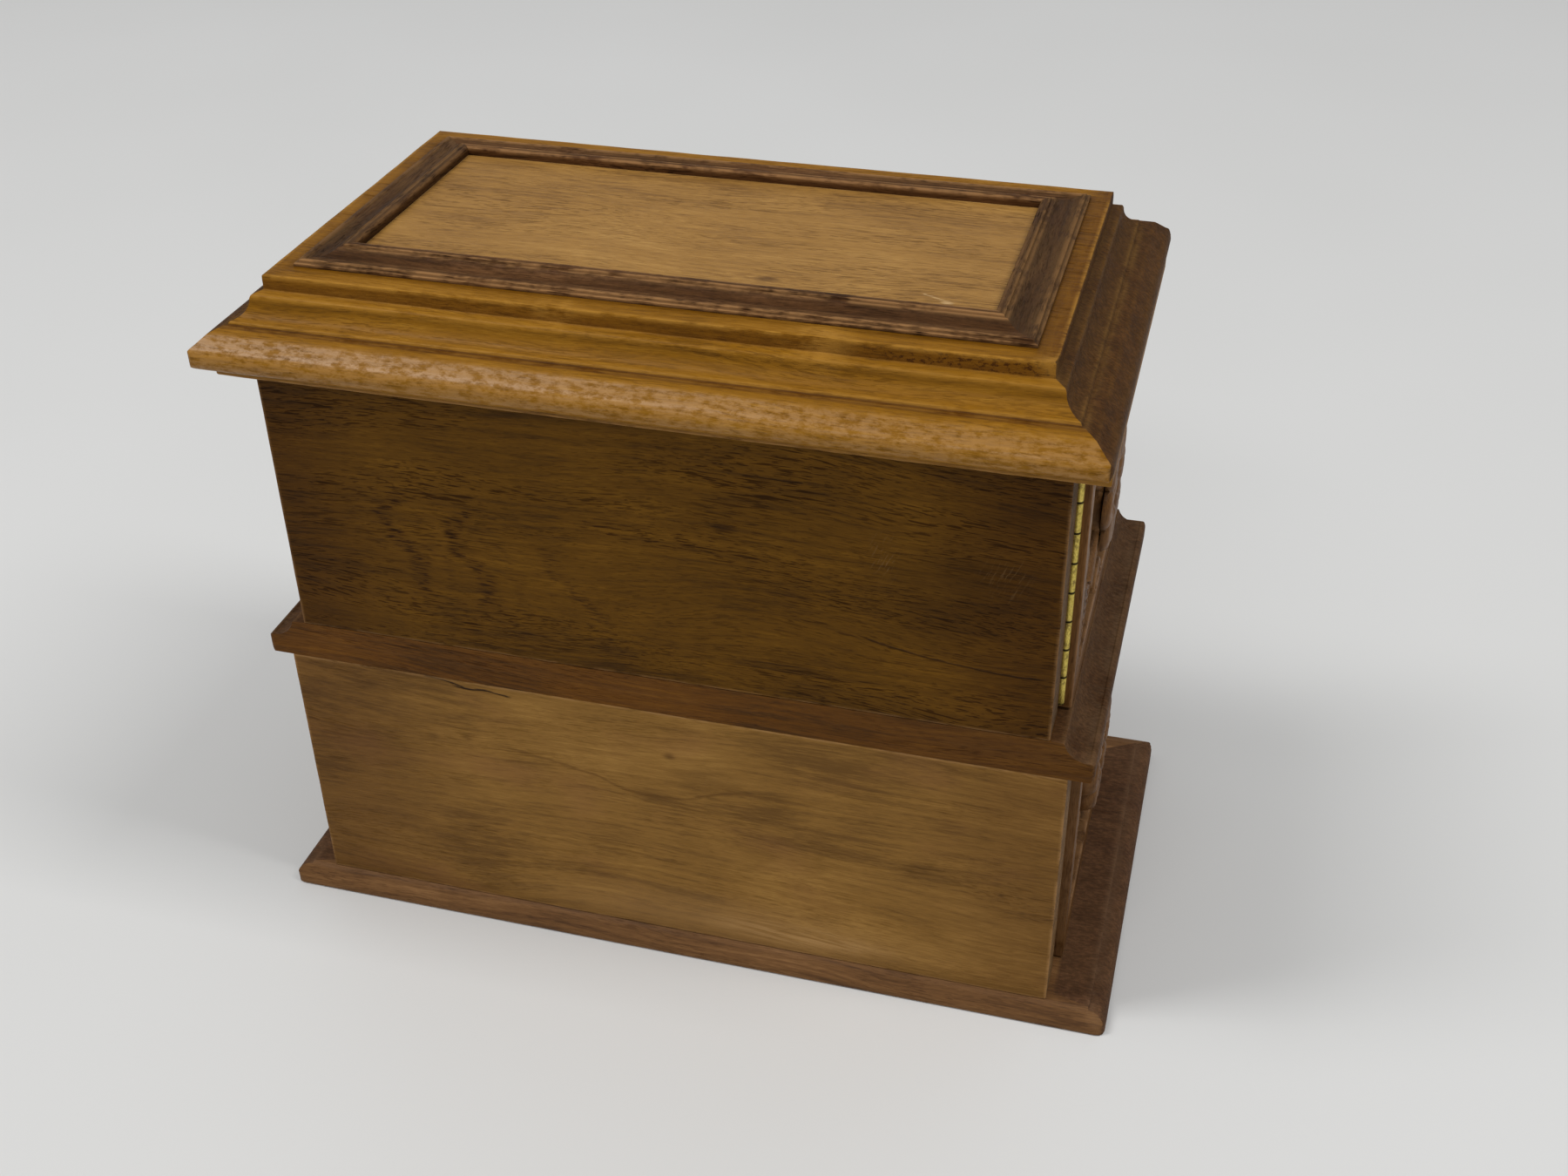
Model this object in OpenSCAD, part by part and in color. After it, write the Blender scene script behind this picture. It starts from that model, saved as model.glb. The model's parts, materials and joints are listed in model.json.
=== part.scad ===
// Two-tier wooden puzzle box: a small moulded cabinet with a carved door on a piano hinge at each
// end of its upper tier and a drawer at each end of its lower tier.
// The front faces -Y, +Z is up, and the origin is the middle of the footprint, on the ground.
// Turn a door's rosette to free the door, and set the key in the compartment floor to free the drawer.

/* [Case] */
// Width of the lower tier over the back board's ends
lower_w = 200; // [190:1:212]
// Width of the upper tier over the back board's ends
upper_w = 190.8; // [184:0.2:194]
// Y of the case's back face
back_y = 53.5; // [50:0.5:56]
// Y of the case's front face
front_y = -52.5; // [-56:0.5:-50]
// Sideways offset of the case on its base board
case_x = 2.2; // [-3:0.1:3]
// Height of the lower tier's walls
lower_h = 73.1; // [68:0.1:80]
// Height of the upper tier's walls
upper_h = 71; // [68:0.1:80]
// Thickness of the back boards
back_t = 11.6; // [10:0.1:13]
// Thickness of the front boards
front_t = 8; // [7:0.5:10]
// Thickness of the partitions
partition_t = 8; // [6:0.5:10]

/* [Base and mid boards] */
// Width of the base board
base_w = 227.2; // [222:0.2:236]
// Thickness of the base board
base_t = 6.2; // [5:0.1:8]
// How far the base board stands behind the case
base_back = 3.1; // [2:0.1:5]
// How far the base board stands in front of the case
base_front = 9.8; // [6:0.1:10]
// Thickness of the mid board
mid_t = 10.4; // [9:0.1:12]
// How far the mid board's moulding stands out past the upper tier's ends
mid_end = 10.6; // [9:0.1:12]
// How far the mid board's moulding stands out in front
mid_front = 4.8; // [4:0.1:6]

/* [Lid] */
// Width of the lid over its nosing
lid_w = 209.8; // [204:0.2:214]
// Depth of the lid over its nosing
lid_d = 126; // [124:0.5:130]
// Sideways offset of the lid on the case
lid_x = 1.4; // [-2:0.1:2]
// Thickness of the lid board
lid_t = 19.5; // [18:0.5:22]
// Width of the lid's moulded edge, from its nosing to its flat top
lid_edge = 14.5; // [14.5:0.1:16]
// Thickness of the thin board under the lid
top_t = 3; // [2:0.5:4]
// How far that thin board is set back from the nosing along the back and the front
top_setback = 6; // [2:0.1:7]
// How far it is set back at its left end
top_setback_left = 0.4; // [0.2:0.1:5]
// How far it is set back at its right end
top_setback_right = 3.3; // [0.2:0.1:5]
// Margin from the edge of the flat top to the picture frame
frame_margin = 5; // [4:0.1:8]
// Width of the picture frame's moulding
frame_w = 10.8; // [9:0.1:13]
// Height of the picture frame's moulding
frame_h = 2.8; // [2:0.1:4]
// Thickness of the inset panel
panel_t = 0.6; // [0.5:0.1:1.2]

/* [Doors and drawers] */
// Thickness of a door's stiles and rails
door_t = 8; // [7:0.5:8]
// Width of a door's stiles and rails
door_stile_w = 6; // [6:0.5:8]
// Width of the rims of the drawer frets and the front overlays
fret_rim_w = 8; // [7:0.5:10]
// Thickness of a door's pierced fret
fret_t = 3.5; // [3:0.1:4]
// Width of the diagonal straps in a fret
strap_w = 7; // [5:0.5:9]
// Gap round a door or a drawer front
reveal = 0.5; // [0.4:0.1:0.8]
// Radius of a carved rosette
rosette_r = 17; // [14:0.5:18]
// Thickness of a drawer's plain front
drawer_front_t = 6; // [5:0.5:6]
// Thickness of a drawer's fret at its rim
drawer_fret_t = 6; // [5:0.5:7]
// Thickness of the sides and back of a drawer
drawer_side_t = 6; // [4:0.5:7]
// Thickness of a drawer's bottom
drawer_bottom_t = 3; // [2.5:0.5:4]
// How far a drawer slides out before its stop pin holds it
drawer_travel = 68; // [40:1:68]

/* [Hinges and locks] */
// Radius of the piano hinge's barrel
barrel_r = 0.95; // [0.9:0.05:1]
// Radius of the hinge pin
hinge_pin_r = 0.5; // [0.4:0.05:0.55]
// Length of one hinge knuckle
knuckle = 7.9; // [7:0.1:8.2]
// Number of knuckles, both leaves together
knuckles = 8; // [6:2:8]
// Thickness of a hinge leaf
leaf_t = 0.45; // [0.4:0.05:0.45]
// Width of a hinge leaf
leaf_w = 4.1; // [3.8:0.1:4.1]
// Radius of a door catch's turning shaft
shaft_r = 2.5; // [2:0.1:3]
// Length of a door catch's bar, from the shaft's centre
catch_l = 13; // [12:0.5:13]
// How far a drawer key slides
key_travel = 8; // [7:0.5:9]

/* [Hidden] */
$fn = 48;
clear = 0.05;
eps = 0.01;
fit_gap = 0.02;

// Heights
mid_z = base_t + lower_h;
upper_z = mid_z + mid_t;
top_z = upper_z + upper_h;
lid_z = top_z + top_t;
lid_top = lid_z + lid_t;

// Places measured outwards from the middle of the case, along X
lower_end = lower_w / 2;
upper_end = upper_w / 2;
door_face = upper_end + 2.7;
door_in = door_face - door_t;
front_end = door_in - 0.6;
back_end = upper_end - 0.4;

// Places along Y
inner_back = back_y - back_t;
overlay_t = 4;
front_out = front_y + overlay_t;
inner_front = front_out + front_t;
front_edge = front_y + 0.4;

// Hinge
hinge_gap = 1.3;
hinge_u = upper_end;
hinge_y = inner_back - hinge_gap / 2;
hinge_z = upper_z + 2.3;
hinge_l = knuckle * knuckles;
door_back = inner_back - hinge_gap;
hinge_rebate = 0.4;
rebate_past = 0.6;
barrel_wing = 0.2;

// Door
door_z = upper_z + reveal;
door_h = upper_h - 2 * reveal;
door_d = door_back - front_edge;
door_my = (door_back + front_edge) / 2;
door_mz = door_z + door_h / 2;
fret_out = door_face;
fret_in = fret_out - fret_t;
rosette_gap = 0.2;
rosette_bore = 1;
fret_rim_t = 1;

// Heights of the rosettes on the doors, the drawers and the front
door_rosette_h = 2.6;
drawer_rosette_h = 5.3;
front_rosette_h = 5;

// Shelf and the slot in it that takes the catch bar
shelf_t = 4;
shelf_z = door_mz + 10.8;
shelf_out = door_in - 0.6;
dado = 2;
catch_w = 5;
catch_t = 2.2;
catch_u = door_in - 4.9;

// Drawer
drawer_z = base_t + 0.3;
drawer_top = mid_z - 0.8;
drawer_out = lower_end - 4;
drawer_in = drawer_out - drawer_front_t;
drawer_gap = 0.5;
drawer_y1 = inner_back - drawer_gap;
drawer_y0 = inner_front + drawer_gap;
drawer_end = partition_t / 2 + 2;
drawer_fret_inset = 3.6;
drawer_fret_sunk = 2;
pin_r = 1.5;
pin_u = drawer_in - 6;
slot_r = pin_r + 0.2;
felt_t = 1;

// Drawer key
key_u = drawer_end + drawer_side_t + 1.8;
key_y = 8;
key_w = 12;
key_l = 24;
key_t = 2;
tongue_w = 2.5;
tongue_l = 6;
tongue_drop = 5;

// Nails and screws
nail_r = 0.3;
nail_head_r = 0.65;
nail_head_t = 0.1;
nail_l = 5;
nails = 4;
screw_r = 1.7;
screw_head_r = 3.2;
screw_l = 20;
screw_x = 80;

walnut = [0.33, 0.19, 0.10];
honey = [0.55, 0.34, 0.14];
pale = [0.68, 0.47, 0.27];
brass = [0.78, 0.62, 0.25];
steel = [0.62, 0.62, 0.64];
felt = [0.35, 0.06, 0.09];

// ---- Shared shapes ----

// Points on an arc, for a moulding's outline
function arc(cx, cz, r, a0, a1, n = 8) =
  [for (i = [0:n]) let (a = a0 + (a1 - a0) * i / n) [cx + r * cos(a), cz + r * sin(a)]];

// A box from its lowest to its highest corner
module block(low, high) { translate(low) cube(high - low); }

// Right-hand parts are modelled in place; the left-hand ones are their mirror image
module at_end(side) {
  translate([case_x, 0, 0]) mirror([side == "left" ? 1 : 0, 0, 0]) children();
}

// A flat outline in Y and Z, extruded along +X from u by t
module end_plate(u, t) { translate([u, 0, 0]) rotate([90, 0, 90]) linear_extrude(t) children(); }

// A board whose edges follow a profile: lists of [outwards, z] points, from the top down, for
// the +X and -X ends and the +Y and -Y sides, each counted from where that edge's flat top stops
module moulded_board(x_half, y_high, y_low, end_p, back_p, front_p) {
  n = len(end_p);
  m = len(front_p);
  intersection() {
    rotate([90, 0, 0]) linear_extrude(300, center = true) polygon(concat(
      [for (p = end_p) [x_half + p[0], p[1]]],
      [for (i = [n - 1:-1:0]) [-x_half - end_p[i][0], end_p[i][1]]]));
    rotate([90, 0, 90]) linear_extrude(300, center = true) polygon(concat(
      [for (p = back_p) [y_high + p[0], p[1]]],
      [for (i = [m - 1:-1:0]) [y_low - front_p[i][0], front_p[i][1]]]));
  }
}

// A rectangle with round corners
module round_rect(w, d, r) {
  square([w - 2 * r, d], center = true);
  square([w, d - 2 * r], center = true);
  for (x = [-1, 1], y = [-1, 1])
    translate([x * (w / 2 - r), y * (d / 2 - r)]) circle(r);
}

// ---- Moulding profiles ----

// Ends and front of the base board: a quirk and a quarter round above a small square edge
function base_edge(s) = let (r = 4) concat(
  [[0, base_t], [s - r - 0.6, base_t], [s - r - 0.5, base_t - 0.6]],
  arc(s - r, base_t - 0.6 - r, r, 90, 0), [[s, 0]]);

// Back of the base board: a long bevel
function base_back_edge(s) = [[0, base_t], [s * 0.35, base_t - 0.9], [s, base_t * 0.3], [s, 0]];

// Mid board: a hollow between a flat top and a rounded nose; s is its whole width
function mid_edge(s) = let (k = s / mid_end, z = upper_z, nose = 1) concat(
  [[0, z]],
  [for (p = arc(9.2, 1.4, 6.4, 193, 268)) [p[0] * k, z + p[1]]],
  arc(s - nose, z - 5.4 - nose * 0.2, nose, 80, 0, 4),
  [[s, mid_z + 0.8], [s - 0.6, mid_z]]);

// Lid: arris, hollow, quirk, long slope and bullnose
function lid_outline() = let (z = lid_top, r = 3.2, e = lid_edge) concat(
  [[0, z], [0, z - 3.5], [2.3, z - 4.2]],
  arc(7, z - 5, 4.4, 180, 262),
  [[6.8, z - 10.2], [7.5, z - 10], [10.2, z - 11.1]],
  arc(e - r, z - 16.2, r, 62, -90, 12),
  [[e - r - 0.2, lid_z]]);

// Picture frame, from its outer edge inwards: two small steps, a hollow and a crest
function frame_outline() = let (h = frame_h) concat(
  [[0, 0], [0, h * 0.3], [0.9, h * 0.34], [1, h * 0.52], [2, h * 0.52], [2.3, h * 0.42]],
  arc(4.6, h * 0.42 + 4.1, 4.2, 255, 318, 6),
  [[frame_w - 2.3, h * 0.82], [frame_w - 2.2, h], [frame_w - 0.4, h], [frame_w, h * 0.85],
   [frame_w, 0]]);

// ---- Shared carved shapes ----

// A dome cut from a sphere: r is its radius at the foot
module dome(r, h) {
  ball = (r * r + h * h) / (2 * h);
  intersection() {
    translate([0, 0, h - ball]) sphere(ball);
    cylinder(r = r + 1, h = h + 1);
  }
}

// Carved rosette standing on Z = 0: eight lobes, eight small beads between them and a boss
module rosette(h) {
  lobe = rosette_r * 0.33;
  cylinder(r = rosette_r * 0.72, h = 1.2);
  for (i = [0:7]) {
    rotate(i * 45) translate([rosette_r - lobe, 0, 0]) dome(lobe, h);
    rotate(i * 45 + 22.5) translate([rosette_r * 0.78, 0, 0]) dome(lobe * 0.4, h * 0.5);
  }
  dome(rosette_r * 0.42, h * 0.7);
}

// A rosette on an end, facing outwards from u
module end_rosette(u, y, z, h) { translate([u, y, z]) rotate([0, 90, 0]) rosette(h); }

// Diagonal straps in a w by h opening, with a round hub and a leaf on each strap; they run on
// into the opening's rim by the length called into
module lattice(w, h, into = 0) {
  turn = atan(h / w);
  reach = norm([w, h]) / 2;
  intersection() {
    square([w + 2 * into, h + 2 * into], center = true);
    union() {
      for (s = [-1, 1]) rotate(s * turn) {
        square([2 * (reach + 2 * into), strap_w], center = true);
        for (k = [-1, 1]) translate([k * reach * 0.72, 0]) circle(strap_w * 0.85);
      }
      circle(rosette_r - 2.5);
    }
  }
}

// A rim round a w by h opening
module rim(w, h, rim_w) {
  difference() {
    square([w + 2 * rim_w, h + 2 * rim_w], center = true);
    square([w, h], center = true);
  }
}

// ---- Base and lower tier ----

// The places of the screws that hold the base board to the lower boards
module at_screws() {
  for (x = [-screw_x, 0, screw_x], y = [back_y - back_t / 2, front_out + front_t / 2])
    translate([case_x + x, y, 0]) children();
}

module screw_hole(r, l) { translate([0, 0, -1]) cylinder(r = r, h = l + 1); }

module base_board() color(walnut) difference() {
  depth = back_y + base_back - front_y + base_front;
  intersection() {
    moulded_board(lower_end, back_y, front_y, base_edge(base_w / 2 - lower_end),
      base_back_edge(base_back), base_edge(base_front));
    translate([0, (back_y + base_back + front_y - base_front) / 2, -1])
      linear_extrude(base_t + 2) round_rect(base_w, depth, 2.5);
  }
  at_screws() {
    screw_hole(screw_r + clear, base_t + 1);
    translate([0, 0, -eps]) cylinder(r1 = screw_head_r + 0.3, r2 = screw_r + clear, h = 2.2);
  }
  for (side = ["left", "right"]) at_end(side)
    translate([pin_u, 0, base_t - 3]) cylinder(r = pin_r, h = 4);
}

module base_screws() color(steel) at_screws() difference() {
  union() {
    translate([0, 0, 0.3]) cylinder(r1 = screw_head_r, r2 = screw_r, h = 1.8);
    translate([0, 0, 1]) cylinder(r = screw_r, h = screw_l - 3);
    translate([0, 0, screw_l - 2]) cylinder(r1 = screw_r, r2 = 0.3, h = 2);
  }
  translate([-4, -0.4, -1]) cube([8, 0.8, 2]);
}

module drawer_stop_pins() color(brass) for (side = ["left", "right"]) at_end(side)
  translate([pin_u, 0, base_t - 3]) cylinder(r = pin_r, h = 5.8);

module lower_back_board() color(honey) difference() {
  translate([case_x, 0, 0]) block([-lower_end, inner_back, base_t], [lower_end, back_y, mid_z]);
  at_screws() screw_hole(screw_r + fit_gap, screw_l + 0.5);
}

module lower_front_board() color(walnut) difference() {
  translate([case_x, 0, 0]) block([-front_end, front_out, base_t], [front_end, inner_front, mid_z]);
  at_screws() screw_hole(screw_r + fit_gap, screw_l + 0.5);
}

module lower_partition() color(honey) translate([case_x - partition_t / 2, 0, 0])
  block([0, inner_front, base_t], [partition_t, inner_back, mid_z]);

// ---- Front overlays ----

// Middle of each of the two bays of a front overlay, counted from the middle of the case
bay_x = front_end / 2 - fret_rim_w / 4;
overlay_sunk = 1.5;

// A framed fret in front of a front board, with two bays
module front_fret(z0, z1) {
  w = front_end - 1.5 * fret_rim_w;
  h = z1 - z0 - 2 * fret_rim_w;
  translate([case_x, front_out, (z0 + z1) / 2]) rotate([90, 0, 0]) {
    linear_extrude(overlay_t) difference() {
      square([2 * front_end, z1 - z0], center = true);
      for (s = [-1, 1]) translate([s * bay_x, 0]) square([w, h], center = true);
    }
    linear_extrude(overlay_t - overlay_sunk) for (s = [-1, 1])
      translate([s * bay_x, 0]) lattice(w, h, 1);
  }
}

module lower_front_fret() color(walnut) front_fret(base_t, mid_z);
module upper_front_fret() color(walnut) front_fret(upper_z, top_z);

module front_rosettes() color(walnut)
  for (s = [-1, 1], z = [(base_t + mid_z) / 2, (upper_z + top_z) / 2])
    translate([case_x + s * bay_x, front_y + overlay_sunk, z])
      rotate([90, 0, 0]) rosette(front_rosette_h);

// ---- Mid board and upper tier ----

// The slot in the mid board that a drawer key's tongue slides in, and the pocket for its plate
module key_pocket() {
  gap = 0.2;
  block([key_u - key_w / 2 - gap, key_y - key_l / 2 - gap, upper_z - key_t - gap],
    [key_u + key_w / 2 + gap, key_y + key_l / 2 + key_travel + gap, upper_z + 1]);
  block([key_u - tongue_w / 2 - gap, key_y - tongue_l / 2 - gap, mid_z - 1],
    [key_u + tongue_w / 2 + gap, key_y + tongue_l / 2 + key_travel + gap, upper_z]);
}

module mid_board() color(walnut) difference() {
  translate([case_x, 0, 0]) moulded_board(upper_end, back_y, front_y, mid_edge(mid_end),
    [[0, upper_z], [0, mid_z]], mid_edge(mid_front));
  for (side = ["left", "right"]) at_end(side) key_pocket();
}

// The groove that holds a shelf's edge
module shelf_groove(side) {
  at_end(side) block([partition_t / 2 - dado, inner_front - dado, shelf_z],
    [shelf_out, inner_back + dado, shelf_z + shelf_t]);
}

// Holes for a row of hinge nails, driven along +Y from y; z counts along the hinge
module at_nails(y) {
  for (i = [0:nails - 1])
    translate([hinge_u - barrel_r - barrel_wing - leaf_w / 2, y,
      hinge_z + hinge_l * (i + 0.5) / nails])
      rotate([-90, 0, 0]) children();
}

module upper_back_board() color(walnut) difference() {
  translate([case_x, 0, 0]) block([-back_end, inner_back, upper_z], [back_end, back_y, top_z]);
  for (side = ["left", "right"]) {
    shelf_groove(side);
    at_end(side) at_nails(inner_back - 1) cylinder(r = nail_r + fit_gap, h = nail_l + 1.5);
    at_end(side)
      block([hinge_u - barrel_r - barrel_wing, inner_back - 1, hinge_z - rebate_past],
        [back_end + 1, inner_back + hinge_rebate, hinge_z + hinge_l + rebate_past]);
  }
}

module upper_front_board() color(walnut) difference() {
  translate([case_x, 0, 0])
    block([-front_end, front_out, upper_z], [front_end, inner_front, top_z]);
  for (side = ["left", "right"]) shelf_groove(side);
}

module upper_partition() color(honey) difference() {
  translate([case_x - partition_t / 2, 0, 0])
    block([0, inner_front, upper_z], [partition_t, inner_back, top_z]);
  for (side = ["left", "right"]) shelf_groove(side);
}

// A shelf, with a slot from below for the door's catch bar
module shelf(side) color(honey) difference() {
  shelf_groove(side);
  at_end(side) block([catch_u - catch_t - 0.4, door_my - 4, shelf_z - 1],
    [catch_u + 0.4, door_my + 11, door_mz + catch_l + 0.4]);
}
module shelf_left() shelf("left");
module shelf_right() shelf("right");

// ---- Lid ----

module top_board() color(walnut) translate([case_x + lid_x, 0, 0])
  block([top_setback_left - lid_w / 2, top_setback - lid_d / 2, top_z],
    [lid_w / 2 - top_setback_right, lid_d / 2 - top_setback, lid_z]);

top_half_w = lid_w / 2 - lid_edge;
top_half_d = lid_d / 2 - lid_edge;

module lid_board() color(honey) translate([case_x + lid_x, 0, 0])
  moulded_board(top_half_w, top_half_d, -top_half_d, lid_outline(), lid_outline(), lid_outline());

// A mitred strip of the picture frame, l long outside, its outer edge on the X axis
module frame_strip(l) {
  intersection() {
    rotate([90, 0, 90]) linear_extrude(l, center = true) polygon(frame_outline());
    linear_extrude(frame_h + 1)
      polygon([[-l / 2, 0], [l / 2, 0], [l / 2 - frame_w, frame_w], [frame_w - l / 2, frame_w]]);
  }
}

frame_half_w = top_half_w - frame_margin;
frame_half_d = top_half_d - frame_margin - 1;

module on_lid() { translate([case_x + lid_x, 0, lid_top]) children(); }
module lid_frame_front() color(walnut) on_lid()
  translate([0, -frame_half_d, 0]) frame_strip(2 * frame_half_w);
module lid_frame_back() color(walnut) on_lid()
  rotate(180) translate([0, -frame_half_d, 0]) frame_strip(2 * frame_half_w);
module lid_frame_right() color(walnut) on_lid()
  rotate(90) translate([0, -frame_half_w, 0]) frame_strip(2 * frame_half_d);
module lid_frame_left() color(walnut) on_lid()
  rotate(-90) translate([0, -frame_half_w, 0]) frame_strip(2 * frame_half_d);

module lid_panel() color(pale) on_lid() translate([0, 0, panel_t / 2])
  cube([2 * (frame_half_w - frame_w), 2 * (frame_half_d - frame_w), panel_t], center = true);

// ---- Doors ----

// The opening inside a door's stiles and rails
open_w = door_d - 2 * door_stile_w;
open_h = door_h - 2 * door_stile_w;

// A door's stiles: the back one is rebated beside the hinge's barrel
module door_stiles(side) color(walnut) at_end(side) difference() {
  for (y = [front_edge, door_back - door_stile_w])
    block([door_in, y, door_z], [door_face, y + door_stile_w, door_z + door_h]);
  block([hinge_u - barrel_r - barrel_wing, door_back - hinge_rebate, hinge_z - rebate_past],
    [door_face + 1, door_back + 1, hinge_z + hinge_l + rebate_past]);
  at_nails(door_back - nail_l - 0.5) cylinder(r = nail_r + fit_gap, h = nail_l + 1);
}

module door_rails(side) color(walnut) at_end(side)
  for (z = [door_z, door_z + door_h - door_stile_w])
    block([door_in, front_edge + door_stile_w, z],
      [door_face, door_back - door_stile_w, z + door_stile_w]);

module door_fret(side) color(walnut) at_end(side) difference() {
  end_plate(fret_in, fret_t) translate([door_my, door_mz]) {
    lattice(open_w, open_h);
    rim(open_w - 2 * fret_rim_t, open_h - 2 * fret_rim_t, fret_rim_t);
  }
  translate([fret_in - 1, door_my, door_mz]) rotate([0, 90, 0])
    cylinder(r = shaft_r + clear, h = fret_t + 2);
}

module door_rosette(side) color(walnut) at_end(side) difference() {
  end_rosette(fret_out + rosette_gap, door_my, door_mz, door_rosette_h);
  translate([fret_out, door_my, door_mz]) rotate([0, 90, 0])
    cylinder(r = shaft_r + fit_gap, h = rosette_bore + rosette_gap + 0.1);
}

// Shaft and bar: the bar lies level at rest and turns up into the slot in the shelf
module door_catch(side) color(honey) at_end(side) {
  translate([catch_u - catch_t, door_my, door_mz]) rotate([0, 90, 0])
    cylinder(r = shaft_r, h = fret_out + rosette_gap + rosette_bore - catch_u + catch_t);
  end_plate(catch_u - catch_t, catch_t) translate([door_my, door_mz]) {
    circle(catch_w / 2 + 1);
    translate([0, -catch_w / 2]) square([catch_l - catch_w / 2, catch_w]);
    translate([catch_l - catch_w / 2, 0]) circle(catch_w / 2);
  }
}

// ---- Piano hinges ----

// Knuckles of one leaf: first is 0 for the case's leaf and 1 for the door's
module hinge_knuckles(first, y0, y1) {
  gap = 0.1;
  for (i = [first:2:knuckles - 1])
    translate([hinge_u, hinge_y, hinge_z + i * knuckle + gap / 2]) {
      cylinder(r = barrel_r, h = knuckle - gap);
      translate([-barrel_r - barrel_wing, y0, 0]) cube([barrel_r + barrel_wing, y1 - y0, knuckle - gap]);
    }
}

module hinge_leaf(first, y0, y1, nail_y) difference() {
  union() {
    hinge_knuckles(first, y0, y1);
    translate([hinge_u - barrel_r - barrel_wing - leaf_w, hinge_y + y0, hinge_z])
      cube([leaf_w, y1 - y0, hinge_l]);
  }
  translate([hinge_u, hinge_y, hinge_z - 1])
    cylinder(r = hinge_pin_r + (first == 1 ? clear : fit_gap), h = hinge_l + 2);
  at_nails(nail_y) cylinder(r = nail_r + fit_gap, h = 2);
}

leaf_out = hinge_gap / 2;

module hinge_case_leaf(side) color(brass) at_end(side)
  hinge_leaf(0, leaf_out - leaf_t, leaf_out, hinge_y);
module hinge_door_leaf(side) color(brass) at_end(side)
  hinge_leaf(1, -leaf_out, leaf_t - leaf_out, hinge_y - 1);

module hinge_pin(side) color(brass) at_end(side)
  translate([hinge_u, hinge_y, hinge_z - 0.4]) cylinder(r = hinge_pin_r, h = hinge_l + 0.8);

// A nail with its head at the origin, its point along +Z
module nail() {
  translate([0, 0, -nail_head_t]) cylinder(r = nail_head_r, h = nail_head_t);
  cylinder(r = nail_r, h = nail_l + leaf_t);
}

module hinge_case_nails() color(brass) for (side = ["left", "right"])
  at_end(side) at_nails(inner_back - leaf_t) nail();
module hinge_door_nails(side) color(brass) at_end(side)
  at_nails(door_back + leaf_t) mirror([0, 0, 1]) nail();

// ---- Drawers ----

drawer_mz = (drawer_z + drawer_top) / 2;
fret_y1 = drawer_y1 - drawer_fret_inset;
fret_y0 = front_y + drawer_fret_inset;

module drawer_front(side) color(honey) at_end(side)
  block([drawer_in, front_edge, drawer_z], [drawer_out, drawer_y1, drawer_top]);

module drawer_fret(side) color(walnut) at_end(side) {
  w = fret_y1 - fret_y0 - 2 * fret_rim_w;
  h = drawer_top - drawer_z - 0.6 - 2 * fret_rim_w;
  end_plate(drawer_out, drawer_fret_t)
    translate([(fret_y0 + fret_y1) / 2, drawer_mz]) rim(w, h, fret_rim_w);
  end_plate(drawer_out, drawer_fret_t - drawer_fret_sunk)
    translate([(fret_y0 + fret_y1) / 2, drawer_mz]) lattice(w, h, 1);
}

module drawer_rosette(side) color(walnut) at_end(side)
  end_rosette(drawer_out + drawer_fret_t - drawer_fret_sunk, (fret_y0 + fret_y1) / 2, drawer_mz,
    drawer_rosette_h);

module drawer_sides(side) color(honey) at_end(side)
  for (y = [drawer_y0, drawer_y1 - drawer_side_t])
    block([drawer_end, y, drawer_z], [drawer_in, y + drawer_side_t, drawer_top - 0.2]);

// Back of a drawer, notched where the key's tongue passes
module drawer_back(side) color(honey) at_end(side) difference() {
  block([drawer_end, drawer_y0 + drawer_side_t, drawer_z],
    [drawer_end + drawer_side_t, drawer_y1 - drawer_side_t, drawer_top - 0.2]);
  block([drawer_end - 1, key_y - tongue_l / 2 - 0.6, mid_z - tongue_drop - 0.7],
    [drawer_end + drawer_side_t + 1, key_y + tongue_l / 2 + 0.6, mid_z]);
}

// Bottom of a drawer, with the slot that the stop pin runs in
module drawer_bottom(side) color(honey) at_end(side) difference() {
  block([drawer_end + drawer_side_t, drawer_y0 + drawer_side_t, drawer_z],
    [drawer_in, drawer_y1 - drawer_side_t, drawer_z + drawer_bottom_t]);
  translate([0, 0, drawer_z - 1]) linear_extrude(drawer_bottom_t + 2) {
    for (u = [pin_u, pin_u - drawer_travel]) translate([u, 0]) circle(slot_r);
    translate([pin_u - drawer_travel, -slot_r]) square([drawer_travel, 2 * slot_r]);
  }
}

module drawer_felt(side) color(felt) at_end(side)
  block([drawer_end + drawer_side_t, drawer_y0 + drawer_side_t, drawer_z + drawer_bottom_t],
    [drawer_in, drawer_y1 - drawer_side_t, drawer_z + drawer_bottom_t + felt_t]);

// Sliding key: a plate in the mid board's pocket, a finger grip and a tongue that blocks the drawer
module drawer_key(side) color(pale) at_end(side) {
  block([key_u - key_w / 2, key_y - key_l / 2, upper_z - key_t],
    [key_u + key_w / 2, key_y + key_l / 2, upper_z]);
  block([key_u - 4, key_y - 3, upper_z], [key_u + 4, key_y + 3, upper_z + 3]);
  block([key_u - tongue_w / 2, key_y - tongue_l / 2, mid_z - tongue_drop],
    [key_u + tongue_w / 2, key_y + tongue_l / 2, upper_z - key_t]);
}

// ---- Nodes ----

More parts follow.
